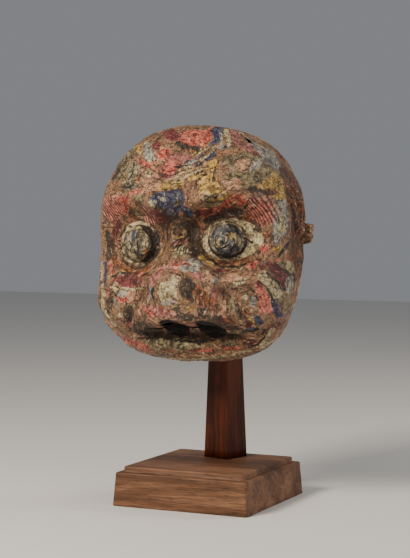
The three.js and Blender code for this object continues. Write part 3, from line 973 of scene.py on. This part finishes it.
def read_patches(text):
    """Each pigment's name, and its patches as a function and its numbers."""
    coats = {}
    for line in text.split("\n"):
        words = line.split()
        if len(words) == 1:
            coats[words[0]] = []
        elif words:
            shape = {"blob": blob, "stroke": stroke, "panel": panel}[words[0]]
            coats[list(coats)[-1]].append((shape, [float(word) for word in words[1:]]))
    return coats


COATS = read_patches(PATCHES)
print("patches:", {name: len(patches) for name, patches in COATS.items()})

# %% [markdown]
# Besides its patches, most pigments are scattered over the whole mask in loose specks, and in broad
# bands at the sides. The mesh also carries the way the brush went, where shade is painted in with
# grime, what is worn bare, where the stripes are hatched and where the ear is.

# %% Paint attributes
# How far each pigment's specks reach: none at 0, and nearly everywhere at 1.
SPECKS = {"olive": 0.4, "peach": 0.5, "rose": 0.44, "ochre": 0.34, "sienna": 0.4, "coral": 0.34,
          "crimson": 0.22, "lapis": 0.1, "lavender": 0.22, "cream": 0.4, "umber": 0.36, "ink": 0.1}
# The third eye's rings, each with its pigment and its radius in millimetres.
COIL_MIDDLE = (1.5, 5)
COIL = (("olive", 1), ("umber", 4.6), ("ochre", 7.4), ("umber", 10.2), ("rose", 13), ("umber", 16))
# Where the stripes are hatched: the middle and half sizes of each ellipse, in millimetres.
HATCHED = ((96, 30, 17, 20), (-88, 34, 20, 18), (-36, 24, 13, 14))
OUTSIDE = -20.0  # a depth that is well outside any patch
CLEAR = 40.0  # taken off a drawn patch where the face ends


def set_attribute(mesh, name, values):
    """Writes one number for each point of the mesh."""
    mesh.attributes.new(name, "FLOAT", "POINT").data.foreach_set("value", values.astype(np.float32))


def rim_band(p):
    """Depth inside the pale band at the rim: its uneven width less the distance to the rim."""
    rim_gap = mix(RIM_AT_CHIN, RIM_AT_CROWN, (p[:, 2] + CHIN) / (CROWN + CHIN)) - p[:, 1]
    return 2.4 + 1.5 * grain(p, 12, 94) - rim_gap


def eye_outlines(eye, sx, sz):
    """Depths in shares inside the white, its bright ring, the ball's black line and the lid's brown one. The
    ring widens towards the light as painted highlight and the line thickens away from it as painted shade.
    """
    out, up, _along, almond = in_eye(eye, sx, sz)
    r, left = eye[3], eye[0] > 0
    ball_edge = np.abs(np.hypot(out, up) - r)
    # Painted shade: the ball's black line is thicker below the left eye and on the nose's side of the right
    # eye.
    shaded_side = smooth(0.04, -0.12, up) if left else smooth(0.0, -0.16, out)
    white = (0.038 if left else 0.022) - almond + r - (np.hypot(out, up) < r)
    # Painted highlight: the right eye's bright ring is wider on its upper outer side, towards the light.
    lit_ring_half = 0.016 if left else 0.012 + 0.01 * smooth(-0.05, 0.1, out + up)
    ring = lit_ring_half - np.abs(almond - r - 0.02)
    line = 0.005 + (0.011 if left else 0.02) * shaded_side - ball_edge
    lid_line = 0.006 - np.abs(almond - r - 0.06)
    return ("cream", white), ("cream", ring), ("ink", line), ("umber", lid_line)


def pigment_depths(p, face):
    """Each pigment's depth: the largest of its patches', its outlines' and its specks' depths."""
    x, _y, z = p.T
    sx, _sy, sz = (p / HALF_WIDTH).T
    depths = {}
    for name, patches in COATS.items():
        drawn = [shape(x, z, *numbers) for shape, numbers in patches]
        depths[name] = np.maximum.reduce(drawn) - CLEAR * (1 - face)
    kept = smooth(-1, 3, np.maximum.reduce(list(depths.values())))
    depths["cream"] = np.maximum(depths["cream"], rim_band(p))
    for eye in EYES:
        for name, share in eye_outlines(eye, sx, sz):
            depth = HALF_WIDTH * share + grain(p, 7, 96) - CLEAR * (1 - face)
            depths[name] = np.maximum(depths[name], depth)
    coil = np.hypot(x - COIL_MIDDLE[0], z - COIL_MIDDLE[1])
    for name, radius in COIL:
        ring = 1.4 - np.abs(coil - radius) + 0.8 * grain(p, 6, 97)
        depths[name] = np.maximum(depths[name], ring)
    for seed, (name, drawn) in enumerate(depths.items()):
        reach = SPECKS.get(name, -1) - 0.12 * kept
        specks = 9 * (0.6 * grain(p, 9, 40 + seed) + 0.4 * grain(p, 4.5, 60 + seed) - 1 + reach)
        bands = 16 * (grain(p * [1, 0.6, 0.5], 17, 80 + seed) - 0.95 + reach) - 30 * face
        depths[name] = np.maximum.reduce([drawn, specks, bands, np.full(len(p), OUTSIDE)])
    return depths


def hollowness(p):
    """How far the surface lies below the mean of six points 5 mm away from it, in millimetres."""
    steps = [np.eye(3)[axis] * 5 * way for axis in range(3) for way in (-1, 1)]
    return sum(outer_relief(p + step) for step in steps) / 6 - outer_relief(p)


def shade_and_grime_on(p, hollow, face):
    """Painted shade with grime: it lies in hollows, round the eyes, in the mouth's crease and nostrils and
    beside the nose.
    """
    sx, _sy, sz = (p / HALF_WIDTH).T
    # Painted shade: the deeper a point lies in a hollow, the darker it is painted.
    shade_and_grime = np.clip(hollow / 3, 0, 0.8)
    # Painted shade round each eye's socket, in the mouth's crease and in the valley between the brows.
    for eye in EYES:
        almond = in_eye(eye, sx, sz)[3]
        round_lid = 0.35 * bell(almond - 0.31, 0.05) * smooth(0.98, 0.7, np.abs(sx))
        shade_and_grime = np.maximum(shade_and_grime, round_lid)
    crease = bell(sz - mouth_line(sx) - 0.03, 0.05) * smooth(0.7, 0.35, np.abs(sx - MOUTH_X))
    valley = 0.85 * dome(sx, sz, -0.02, 0.08, 0.36, 0.28)
    coil = np.hypot(p[:, 0] - COIL_MIDDLE[0], p[:, 2] - COIL_MIDDLE[1])
    shade_and_grime = np.maximum.reduce([shade_and_grime, crease, valley]) - 0.3 * smooth(17, 13, coil)
    # Painted shade: a soft dark band along each side of the nose.
    beside_nose = bell(np.abs(sx - NOSE_X) - 0.36, 0.07) * smooth(-0.95, -0.8, sz) * smooth(-0.15, -0.4, sz)
    shade_and_grime = np.maximum(shade_and_grime, 0.5 * beside_nose)
    # Painted shade: the nostril pits are painted black.
    for cx, cz, rx, rz in NOSTRILS:
        out = np.hypot((sx - cx) / rx, (sz - cz) / rz)
        shade_and_grime = np.maximum(shade_and_grime, 1.5 * smooth(1.35, 0.95, out))
    shade_and_grime = mix(np.clip(hollow / 3, 0, 0.7), shade_and_grime, face) + 0.12 * grain(p, 7, 92)
    return np.clip(shade_and_grime, 0, 1.5)


def ear_stain(p):
    """1 on the ear, where its amber stain lies, and little on the tab behind it."""
    sx, sy, sz = (p / HALF_WIDTH).T
    place = smooth(1.1, 0.8, np.hypot((sy - 0.16) / 0.42, (sz - 0.14) / 0.6) + 0.2 * grain(p, 12, 93))
    tab = smooth(0.15, 0.18, sy) * smooth(0.13, 0.11, np.abs(sz - 0.02))
    return place * smooth(-0.24, -0.1, sy) * smooth(0.6, 0.85, np.abs(sx)) * (1 - 0.8 * tab)


def paint_fields(mesh):
    """Writes all of the paint's attributes. The face's own patches end at a ragged line at its side."""
    co = np.empty(len(mesh.vertices) * 3, np.float32)
    mesh.vertices.foreach_get("co", co)
    p = to_mask(co.reshape(-1, 3).astype(float))
    x, _y, z = p.T
    ragged = p[:, 1] / HALF_WIDTH + 0.16 * grain(p, 16, 90) + 0.08 * grain(p, 6, 91)
    face = smooth(0.2, -0.02, ragged)
    for name, depth in pigment_depths(p, face).items():
        set_attribute(mesh, name, depth)
    hollow = hollowness(p)
    set_attribute(mesh, "flow", flow_rings(p))
    # Painted shade with grime, which the material turns brown or black.
    set_attribute(mesh, "shade_and_grime", shade_and_grime_on(p, hollow, face))
    set_attribute(mesh, "worn", np.clip(-hollow / 2.5, 0, 1))
    set_attribute(mesh, "ear", ear_stain(p))
    stripes = np.maximum.reduce([blob(x, z, *place, 0) for place in HATCHED])
    set_attribute(mesh, "stripes", mix(OUTSIDE, stripes, face))
    balls = [[HALF_WIDTH * share for share in (cx, cz, r, r)] for _side, cx, cz, r in EYES]
    gloss = np.maximum.reduce([blob(x, z, *ball, 0) for ball in balls])
    set_attribute(mesh, "gloss", mix(OUTSIDE, gloss, face))
    print("paint:", len(mesh.attributes), "attributes, hollows up to", round(hollow.max(), 1), "mm")


# %% [markdown]
# Gouache on gesso over paper. It is matt where it is chalky and has a dull shine where hands and
# varnish have polished it. The recipe goes as the painter went: a mottled ground, the pigments one over
# the other, the hatched stripes, then many years of wear, soot and cracks, and shade painted into the
# hollows. Paint dries in plates about 5 mm wide, so a cell pattern of that size gives each plate its own
# tint and ragged edge.

# %% Painted paper material
# Each pigment's dark, main, light and odd tint, and how far its plates stray over its outline, in mm.
TINTS = {
    "olive": ("#3f3525", "#6b5d40", "#93825c", "#6b6a57", 2.4),
    "peach": ("#85563c", "#a87656", "#c49a76", "#9a5f4b", 2.8),
    "rose": ("#66322b", "#8e4e45", "#b37668", "#84504d", 2.8),
    "chalk": ("#2c271f", "#655c47", "#a29573", "#545145", 1.0),
    "iris": ("#0b0c0f", "#26282c", "#55585c", "#7d7462", 0.4),
    "ochre": ("#6f4e22", "#a67d36", "#ccab57", "#a2784a", 2.2),
    "sienna": ("#3a1c0f", "#6f3c20", "#95582e", "#55291a", 2.8),
    "coral": ("#7c2c23", "#b34e3e", "#d67d64", "#994c3f", 2.0),
    "crimson": ("#3a1414", "#632423", "#823a38", "#521f1e", 1.8),
    "lapis": ("#12142a", "#282b4e", "#52546e", "#4d5750", 1.2),
    "lavender": ("#4b4a50", "#827d76", "#b5ac98", "#66695f", 2.0),
    "cream": ("#7b6947", "#aa9a70", "#cdbd92", "#8d8064", 1.0),
    "umber": ("#1d150f", "#34271c", "#4c3a2a", "#3a3129", 2.4),
    "ink": ("#080605", "#120d0a", "#201813", "#0e0b09", 0.7),
}


def painted_paper():
    """Ground, pigments, stripes, ear stain, brush marks, wear, cracks, and soot with painted shade, in that
    order.
    """
    material, tree, shader = new_material("gouache_on_gessoed_paper")
    place = add(tree, "TexCoord")["Object"]
    clouds, flakes, dust = (
        add(tree, "TexNoise", {"Vector": place, "Scale": per_mm(size), "Detail": detail, "Roughness": 0.62})
        for size, detail in ((26, 5.0), (6.5, 4.0), (1.9, 3.0)))
    speck = add(tree, "SeparateColor", {"Color": dust["Color"]})
    bent = add(tree, "VectorMath", {0: flakes["Color"], 1: (0.012, 0.012, 0.012), 2: place},
               operation="MULTIPLY_ADD")[0]
    plates = add(tree, "TexVoronoi", {"Vector": bent, "Scale": per_mm(5)})
    chance = add(tree, "SeparateColor", {"Color": plates["Color"]})
    edges = add(tree, "TexVoronoi", {"Vector": bent, "Scale": per_mm(5)}, feature="DISTANCE_TO_EDGE")
    sheets = add(tree, "TexVoronoi", {"Vector": bent, "Scale": per_mm(14)})
    sheet = add(tree, "SeparateColor", {"Color": sheets["Color"]})

    # Brush marks: noise that is about 2.4 mm wide across the flow and 12 mm long along it.
    flow = add(tree, "Attribute", attribute_name="flow")["Fac"]
    lane = add(tree, "Math", {0: flow, 1: 1 / 2.4}, operation="MULTIPLY")[0]
    lane = add(tree, "CombineXYZ", {"X": lane})[0]
    lanes = add(tree, "VectorMath", {0: place, 1: (85, 85, 85), 2: lane}, operation="MULTIPLY_ADD")[0]
    mark = add(tree, "TexNoise", {"Vector": lanes, "Scale": 1.0, "Detail": 3.0, "Roughness": 0.6})["Fac"]
    brush = add(tree, "MapRange", {"Value": mark, "From Min": 0.32, "From Max": 0.68})[0]

    # The ground is a patchwork of thin, dirty tints.
    tone = add(tree, "Mix", {0: 0.5, 2: chance[0], 3: sheet[0]})[0]
    tone = add(tree, "Mix", {0: 0.45, 2: tone, 3: clouds["Fac"]})[0]
    tone = add(tree, "Mix", {0: 0.3, 2: tone, 3: brush})[0]
    colour = add(tree, "ValToRGB", {0: tone}, stops=(
        (0.22, "#33261b"), (0.32, "#5c4a33"), (0.40, "#8a6a47"), (0.47, "#8f5f49"), (0.53, "#746444"),
        (0.58, "#9c7955"), (0.65, "#854b40"), (0.74, "#ac946c"), (0.84, "#6a6354")))[0]

    for number, (name, (dark, main, light, odd, stray)) in enumerate(TINTS.items()):
        depth = add(tree, "Attribute", attribute_name=name)["Fac"]
        swayed = add(tree, "Math", {0: chance[(number + 1) % 3], 1: stray, 2: depth},
                     operation="MULTIPLY_ADD")[0]
        swayed = add(tree, "Math", {0: brush, 1: 0.8 * stray, 2: swayed}, operation="MULTIPLY_ADD")[0]
        start, end = 0.9 * stray - 0.3, 0.9 * stray + 0.3
        inside = add(tree, "MapRange", {"Value": swayed, "From Min": start, "From Max": end})[0]
        tone = add(tree, "Mix", {0: 0.5, 2: chance[number % 3], 3: brush})[0]
        tone = add(tree, "Mix", {0: 0.25, 2: tone, 3: speck[(number + 2) % 3]})[0]
        stops = ((0.22, dark), (0.42, main), (0.6, light), (0.78, odd))
        tint = add(tree, "ValToRGB", {0: tone}, stops=stops)[0]
        colour = add(tree, "Mix", {0: inside, 6: colour, 7: tint}, **COLOUR)[2]

    # Stripes hatched down the temples, 3.6 mm apart.
    axis = add(tree, "SeparateXYZ", {"Vector": place})
    phase = add(tree, "Math", {0: axis["Z"], 1: 0.35, 2: axis["X"]}, operation="MULTIPLY_ADD")[0]
    turns = add(tree, "Math", {0: phase, 1: 2 * math.pi * per_mm(3.6)}, operation="MULTIPLY")[0]
    wave = add(tree, "Math", {0: turns}, operation="SINE")[0]
    depth = add(tree, "Attribute", attribute_name="stripes")["Fac"]
    hatched = add(tree, "MapRange", {"Value": depth, "From Min": 0.0, "From Max": 4.0})[0]
    for start, end, tint in ((0.1, 0.7, "#5a201d"), (-0.2, -0.8, "#c98a78")):
        line = add(tree, "MapRange", {"Value": wave, "From Min": start, "From Max": end, "To Max": 0.85})[0]
        line = add(tree, "Math", {0: line, 1: hatched}, operation="MULTIPLY")[0]
        colour = add(tree, "Mix", {0: line, 6: colour, 7: tint}, **COLOUR)[2]

    # The ears are stained in amber and brown streaks that flow round them.
    stops = ((0.36, "#120602"), (0.46, "#3a1a09"), (0.54, "#844711"), (0.66, "#46220d"))
    streak = add(tree, "ValToRGB", {0: mark}, stops=stops)[0]
    ear_place = add(tree, "Attribute", attribute_name="ear")["Fac"]
    colour = add(tree, "Mix", {0: ear_place, 6: colour, 7: streak}, **COLOUR)[2]

    # The furrows between the brush marks are darker, in some places more than in others.
    furrow = add(tree, "MapRange", {"Value": mark, "From Min": 0.34, "From Max": 0.58,
                                    "To Min": 0.7, "To Max": 0.0})[0]
    patchy = add(tree, "MapRange", {"Value": clouds["Fac"], "From Min": 0.4, "From Max": 0.62})[0]
    furrow = add(tree, "Math", {0: furrow, 1: patchy}, operation="MULTIPLY")[0]
    colour = add(tree, "Mix", {0: furrow, 6: colour, 7: "#3a2a1e"}, **COLOUR)[2]

    # Wear bares the chalk on what stands out, and cracks part the plates.
    worn = add(tree, "Attribute", attribute_name="worn")["Fac"]
    bare = add(tree, "Mix", {0: 0.6, 2: speck[0], 3: mark})[0]
    bare = add(tree, "Math", {0: worn, 1: 0.1, 2: bare}, operation="MULTIPLY_ADD")[0]
    bare = add(tree, "MapRange", {"Value": bare, "From Min": 0.59, "From Max": 0.67, "To Max": 0.7})[0]
    colour = add(tree, "Mix", {0: bare, 6: colour, 7: "#d2c09c"}, **COLOUR)[2]
    crack = add(tree, "MapRange", {"Value": edges["Distance"], "From Min": 0.09, "From Max": 0.03})[0]
    broken = add(tree, "MapRange", {"Value": flakes["Fac"], "From Min": 0.44, "From Max": 0.54,
                                    "To Max": 0.85})[0]
    crack = add(tree, "Math", {0: crack, 1: broken}, operation="MULTIPLY")[0]
    colour = add(tree, "Mix", {0: crack, 6: colour, 7: "#20150e"}, **COLOUR)[2]

    # Painted shade, with soot and varnish: brown in shallow hollows and black in deep ones and in the
    # nostrils.
    shade_and_grime = add(tree, "Attribute", attribute_name="shade_and_grime")["Fac"]
    soot_and_shade = add(tree, "Math", {0: flakes["Fac"], 1: 0.9, 2: shade_and_grime}, operation="MULTIPLY_ADD")[0]
    soot_and_shade = add(tree, "Math", {0: speck[2], 1: 0.5, 2: soot_and_shade}, operation="MULTIPLY_ADD")[0]
    for start, end, share, tint in ((0.9, 1.3, 0.6, "#3a2416"), (1.2, 1.85, 0.97, "#0a0604")):
        shade_share = add(tree, "MapRange", {"Value": soot_and_shade, "From Min": start, "From Max": end, "To Max": share})[0]
        colour = add(tree, "Mix", {0: shade_share, 6: colour, 7: tint}, **COLOUR)[2]

    height = add(tree, "Mix", {0: 0.3, 2: brush, 3: dust["Fac"]})[0]
    height = add(tree, "Math", {0: chance[1], 1: 0.3, 2: height}, operation="MULTIPLY_ADD")[0]
    height = add(tree, "Math", {0: crack, 1: -0.6, 2: height}, operation="MULTIPLY_ADD")[0]
    bumps = add(tree, "Bump", {"Height": height, "Strength": 1.0, "Distance": 0.002})
    gloss = add(tree, "Attribute", attribute_name="gloss")["Fac"]
    matt = add(tree, "MapRange", {"Value": speck[1], "From Min": 0.3, "From Max": 0.7,
                                  "To Min": 0.38, "To Max": 0.8})[0]
    shine = add(tree, "MapRange", {"Value": gloss, "From Min": 0.0, "From Max": 2.0,
                                   "To Min": 1.0, "To Max": 0.6})[0]
    rough = add(tree, "Math", {0: matt, 1: shine}, operation="MULTIPLY")[0]
    rough = add(tree, "Mix", {0: shade_share, 2: rough, 3: 1.0})[0]
    tree.links.new(colour, shader.inputs["Base Color"])
    tree.links.new(bumps["Normal"], shader.inputs["Normal"])
    tree.links.new(rough, shader.inputs["Roughness"])
    shader.inputs["IOR"].default_value = 1.48
    shader.inputs["Specular IOR Level"].default_value = 0.5
    return material


# %% [markdown]
# Inside, the mask is bare: torn sheets of paper pasted one over the other, brown with glue, sweat and
# handling. The rim has lost its paint and shows chalk and paper. The passages behind the nostrils and
# the mouth are lined in near-black, which is painted shade for the dark inside them.

# %% Bare paper, worn edge and a black lining painted as shade
def bare_paper(name, sheet_size, stops, bump, specular=0.5):
    """Torn sheets, each with its own tone, under a tone for its fibres."""
    material, tree, shader = new_material(name)
    place = add(tree, "TexCoord")["Object"]
    fibre = add(tree, "TexNoise", {"Vector": place, "Scale": per_mm(6), "Detail": 8.0, "Roughness": 0.7})
    bent = add(tree, "VectorMath", {0: fibre["Color"], 1: (0.01, 0.01, 0.01), 2: place},
               operation="MULTIPLY_ADD")[0]
    sheets = add(tree, "TexVoronoi", {"Vector": bent, "Scale": per_mm(sheet_size)})
    torn = add(tree, "TexVoronoi", {"Vector": bent, "Scale": per_mm(sheet_size)},
               feature="DISTANCE_TO_EDGE")
    sheet = add(tree, "SeparateColor", {"Color": sheets["Color"]})[0]
    value = add(tree, "Mix", {0: 0.35, 2: fibre["Fac"], 3: sheet})[0]
    colour = add(tree, "ValToRGB", {0: value}, stops=stops)[0]
    edge = add(tree, "MapRange", {"Value": torn["Distance"], "From Min": 0.05, "From Max": 0.0,
                                  "To Max": 0.6})[0]
    colour = add(tree, "Mix", {0: edge, 6: colour, 7: stops[0][1]}, **COLOUR)[2]
    height = add(tree, "Math", {0: sheet, 1: 0.5, 2: fibre["Fac"]}, operation="MULTIPLY_ADD")[0]
    bumps = add(tree, "Bump", {"Height": height, "Strength": 0.7, "Distance": bump})
    tree.links.new(colour, shader.inputs["Base Color"])
    tree.links.new(bumps["Normal"], shader.inputs["Normal"])
    shader.inputs["Roughness"].default_value = 0.88
    shader.inputs["Specular IOR Level"].default_value = specular
    return material


GLUED_PAPER = ((0.3, "#2f2218"), (0.45, "#5f4a33"), (0.6, "#8d7351"), (0.75, "#6f5a40"))
CHALKY_EDGE = ((0.32, "#4a3524"), (0.45, "#94795a"), (0.6, "#cdb996"))
# A near-black lining for the passages: painted shade inside the nostrils and the mouth.
PASSAGE_SHADE = ((0.35, "#020101"), (0.65, "#080403"))
MASK_FINISHES = (
    painted_paper(),
    bare_paper("raw_pasted_paper", 30, GLUED_PAPER, 0.0014),
    bare_paper("worn_chalk_and_paper_edge", 9, CHALKY_EDGE, 0.001),
    bare_paper("black_lining_painted_as_shade", 12, PASSAGE_SHADE, 0.001, 0.05),
)
print("mask finishes and their nodes:", {m.name: len(m.node_tree.nodes) for m in MASK_FINISHES})

# %% [markdown]
# ## Putting the mask together
# The shell is cut with the holes, and only then do its points get their paint, because the cutting
# makes new points along the holes' edges.

# %% Mask
shell_points, shell_faces, shell_slots = build_shell()
whole = mesh_object("whole_shell", shell_points, shell_faces, shell_slots, MASK_FINISHES)
cutters = []
for hole, (points, faces) in HOLES.items():
    # The cutters' faces take the near-black lining, which is painted shade inside the holes.
    cutter = mesh_object(hole, to_part(points), faces, [3] * len(faces), MASK_FINISHES)
    cut = whole.modifiers.new(hole, "BOOLEAN")
    cut.operation, cut.solver, cut.object = "DIFFERENCE", "EXACT", cutter
    cutters.append(cutter)
evaluated = whole.evaluated_get(bpy.context.evaluated_depsgraph_get())
mask = bpy.data.objects.new("painted_mask", bpy.data.meshes.new_from_object(evaluated))
bpy.context.scene.collection.objects.link(mask)
mask.data.name = "painted_mask"
for spare in [whole, *cutters]:
    bpy.data.objects.remove(spare)
paint_fields(mask.data)
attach(mask, "root")
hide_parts("lion_mask")
triangles = sum(len(face.vertices) - 2 for face in mask.data.polygons)
print("mask:", len(mask.data.polygons), "faces,", triangles, "triangles")

# %% [markdown]
# ## The stand
# A joiner's block and post, planed, eased at the edges, stained and waxed. Each is a square with round
# corners carried up a profile. The post's top is cut to the crown's inside by casting a ray up from
# each of its points.

# %% Stand meshes
PLINTH_HALF, PLINTH_HEIGHT, PLINTH_BATTER = 87.5, 40.0, 2.4
STEP_INSET, STEP_HEIGHT = 7.6, 6.7
COLUMN_FOOT, COLUMN_TAPER = 38.0, 0.06
COLUMN_MIDDLE, COLUMN_TURN = np.array([2.0, 42.0]), math.radians(-17)
EDGE, GAP = 1.6, 0.3
COLUMN_LENGTH = 420.0  # longer than it ends up, as the crown's inside cuts it
BELOW_CROWN = 0.36  # a height inside the hollow mask, in metres


def square_ring(half, corner, along=10, bend=5):
    """Points round a square: `along` steps on each side and a quarter circle at each corner."""
    quarter = np.linspace(0, np.pi / 2, bend + 1)
    bow = np.stack([np.cos(quarter), np.sin(quarter)], -1) * corner + (half - corner)
    run = np.linspace(half - corner, corner - half, along + 1)[1:-1]
    side = np.concatenate([bow, np.stack([run, np.full(len(run), half)], -1)])
    turned = [side]
    for _ in range(3):
        turned.append(np.stack([-turned[-1][:, 1], turned[-1][:, 0]], -1))
    return np.concatenate(turned)


def carried_square(profile, corner):
    """A square carried up a profile of (half, height) pairs, closed at both ends by flat faces."""
    rings = []
    for half, z in profile:
        ring = square_ring(half, corner)
        rings.append(np.column_stack([ring, np.full(len(ring), z)]))
    count = len(rings[0])
    k = np.arange(count)
    faces = []
    for level in range(len(rings) - 1):
        low, high = level * count, (level + 1) * count
        faces += np.stack([low + k, low + (k + 1) % count, high + (k + 1) % count, high + k], -1).tolist()
    last = (len(rings) - 1) * count
    faces += [k[::-1].tolist(), (last + k).tolist()]
    return np.concatenate(rings), faces


def eased(half, z, radius, rising):
    """A quarter round at an edge, as half widths and heights: in to the top, or out from below."""
    turn = np.linspace(0, np.pi / 2, 6)
    if rising:
        return list(zip(half - radius + radius * np.cos(turn), z - radius + radius * np.sin(turn)))
    return list(zip(half - radius + radius * np.sin(turn), z + radius - radius * np.cos(turn)))


def plinth_shape():
    """A block with battered sides and a step, its edges eased and worn a little out of true."""
    shoulder = PLINTH_HALF - PLINTH_BATTER
    step = shoulder - STEP_INSET
    top = PLINTH_HEIGHT + STEP_HEIGHT
    sides = [(mix(PLINTH_HALF, shoulder, t), mix(EDGE, PLINTH_HEIGHT - EDGE, t))
             for t in (0.25, 0.5, 0.75)]
    profile = eased(PLINTH_HALF, 0, EDGE, False) + sides + eased(shoulder, PLINTH_HEIGHT, EDGE, True)
    profile += [(step + 0.5, PLINTH_HEIGHT), (step, PLINTH_HEIGHT + 0.5)] + eased(step, top, EDGE, True)
    points, faces = carried_square(profile, 3.0)
    worn = 0.25 * grain(points, 16, 80) - 0.25
    worn = worn * smooth(0.5, 3, points[:, 2])
    points[:, :2] *= 1 + (worn / 80)[:, None]
    return points * MM, faces


def column_shape():
    """A square post that tapers by a share of its height, turned and set back from the middle."""
    foot = PLINTH_HEIGHT + STEP_HEIGHT + GAP
    heights = np.linspace(0, COLUMN_LENGTH, 40)
    profile = [((COLUMN_FOOT - COLUMN_TAPER * h) / 2, foot + h) for h in heights]
    points, faces = carried_square(profile, EDGE)
    c, s = math.cos(COLUMN_TURN), math.sin(COLUMN_TURN)
    flat = points[:, :2] @ np.array([[c, s], [-s, c]]) + COLUMN_MIDDLE
    points = np.column_stack([flat, points[:, 2]])
    return points * MM, faces


def cut_to_crown(points):
    """Lowers each point that is higher than the crown's inside, just under it."""
    tree = BVHTree.FromObject(mask, bpy.context.evaluated_depsgraph_get())
    for point in points:
        start = Vector((point[0], point[1], BELOW_CROWN))
        hit = tree.ray_cast(start, Vector((0, 0, 1)))[0]
        if hit is not None and point[2] > hit.z - GAP * MM:
            point[2] = hit.z - GAP * MM
    return points


def walnut(name, stops, along, pores):
    """Stained wood: swaying streaks and dark pores, both drawn out along the grain."""
    material, tree, shader = new_material(name)
    place = add(tree, "TexCoord")["Object"]
    stretch = [1.0, 1.0, 1.0]
    stretch[along] = 0.06
    drawn = add(tree, "VectorMath", {0: place, 1: stretch}, operation="MULTIPLY")[0]
    sway = add(tree, "TexNoise", {"Vector": drawn, "Scale": per_mm(26), "Detail": 3.0})["Color"]
    swayed = add(tree, "VectorMath", {0: sway, 1: (0.02, 0.02, 0.02), 2: drawn},
                 operation="MULTIPLY_ADD")[0]
    rings, fine = (
        add(tree, "TexNoise", {"Vector": at, "Scale": per_mm(size), "Detail": detail,
                               "Roughness": rough})["Fac"]
        for at, size, detail, rough in ((swayed, 5, 4.0, 0.65), (drawn, 1.4, 3.0, 0.7)))
    broad = add(tree, "TexNoise", {"Vector": drawn, "Scale": per_mm(30), "Detail": 2.0})["Fac"]
    value = add(tree, "Mix", {0: 0.5, 2: broad, 3: rings})[0]
    colour = add(tree, "ValToRGB", {0: value}, stops=stops)[0]
    pore = add(tree, "MapRange", {"Value": fine, "From Min": 0.5, "From Max": 0.38, "To Max": pores})[0]
    colour = add(tree, "Mix", {0: pore, 6: colour, 7: "#160b06"}, **COLOUR)[2]
    height = add(tree, "Math", {0: pore, 1: -0.8, 2: rings}, operation="MULTIPLY_ADD")[0]
    bumps = add(tree, "Bump", {"Height": height, "Strength": 0.35, "Distance": 0.0006})
    rough = add(tree, "MapRange", {"Value": fine, "From Min": 0.3, "From Max": 0.7,
                                   "To Min": 0.58, "To Max": 0.42})[0]
    tree.links.new(colour, shader.inputs["Base Color"])
    tree.links.new(bumps["Normal"], shader.inputs["Normal"])
    tree.links.new(rough, shader.inputs["Roughness"])
    shader.inputs["IOR"].default_value = 1.5
    shader.inputs["Specular IOR Level"].default_value = 0.2
    return material


plinth_points, plinth_faces = plinth_shape()
BLOCK_STAIN = ((0.36, "#402a1a"), (0.5, "#62432f"), (0.64, "#856046"))
plinth_wood = walnut("waxed_walnut_block", BLOCK_STAIN, along=0, pores=0.5)
plinth = mesh_object("plinth_block", plinth_points, plinth_faces, materials=(plinth_wood,))
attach(plinth, "root")
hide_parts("plinth")

column_points, column_faces = column_shape()
POST_STAIN = ((0.4, "#180801"), (0.5, "#331103"), (0.6, "#4c1d07"))
column_wood = walnut("stained_hardwood_post", POST_STAIN, along=2, pores=0.4)
column = mesh_object("column_post", cut_to_crown(column_points), column_faces, materials=(column_wood,))
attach(column, "root")
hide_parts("column")
print("tops of plinth and column in mm:",
      [round(float(points[:, 2].max() / MM), 1) for points in (plinth_points, column_points)])

# %% [markdown]
# ## Floor and light
# A plain pale floor and a soft light from the front, high and to the left, which is the bright one. A
# broader and weaker one fills the right side, and a faint one from behind draws the rim.

# %% Floor, world and lights
floor_points = np.array([(-4, -4, 0), (4, -4, 0), (4, 4, 0), (-4, 4, 0)], float)
floor_paint, floor_tree, floor_shader = new_material("pale_matt_paint")
floor_shader.inputs["Base Color"].default_value = linear("#d8d7d4")
floor_shader.inputs["Roughness"].default_value = 0.8
floor = mesh_object("floor", floor_points, [[0, 1, 2, 3]], materials=(floor_paint,))
floor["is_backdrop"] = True

world = bpy.data.worlds.new("studio")
world.use_nodes = True
world.node_tree.nodes["Background"].inputs["Color"].default_value = linear("#dfe2e8")
world.node_tree.nodes["Background"].inputs["Strength"].default_value = 0.3
bpy.context.scene.world = world


LOOKED_AT = Vector((0, 0, 0.3))  # in the middle of the mask, a little below its eyes


def soft_light(name, place, size, watts, colour):
    """A square area light, size metres wide, that looks at the mask."""
    light = bpy.data.objects.new(name, bpy.data.lights.new(name, "AREA"))
    light.data.size, light.data.energy = size, watts
    light.data.color = linear(colour)[:3]
    light.location = place
    aim = LOOKED_AT - Vector(place)
    light.rotation_mode = "QUATERNION"
    light.rotation_quaternion = aim.to_track_quat("-Z", "Y")
    bpy.context.scene.collection.objects.link(light)


soft_light("key_light", (-0.6, -1.6, 1.38), 0.6, 59, "#fff2e2")
soft_light("fill_light", (1.8, -1.1, 0.6), 1.0, 12, "#fff4e8")
soft_light("rim_light", (1.3, 1.0, 1.0), 0.6, 12, "#fff6ea")
print("lights in watts:", {light.name: light.energy for light in bpy.data.lights})

low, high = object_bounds()
print("visual box in mm:", [round(1000 * v, 1) for v in (*low, *high)])
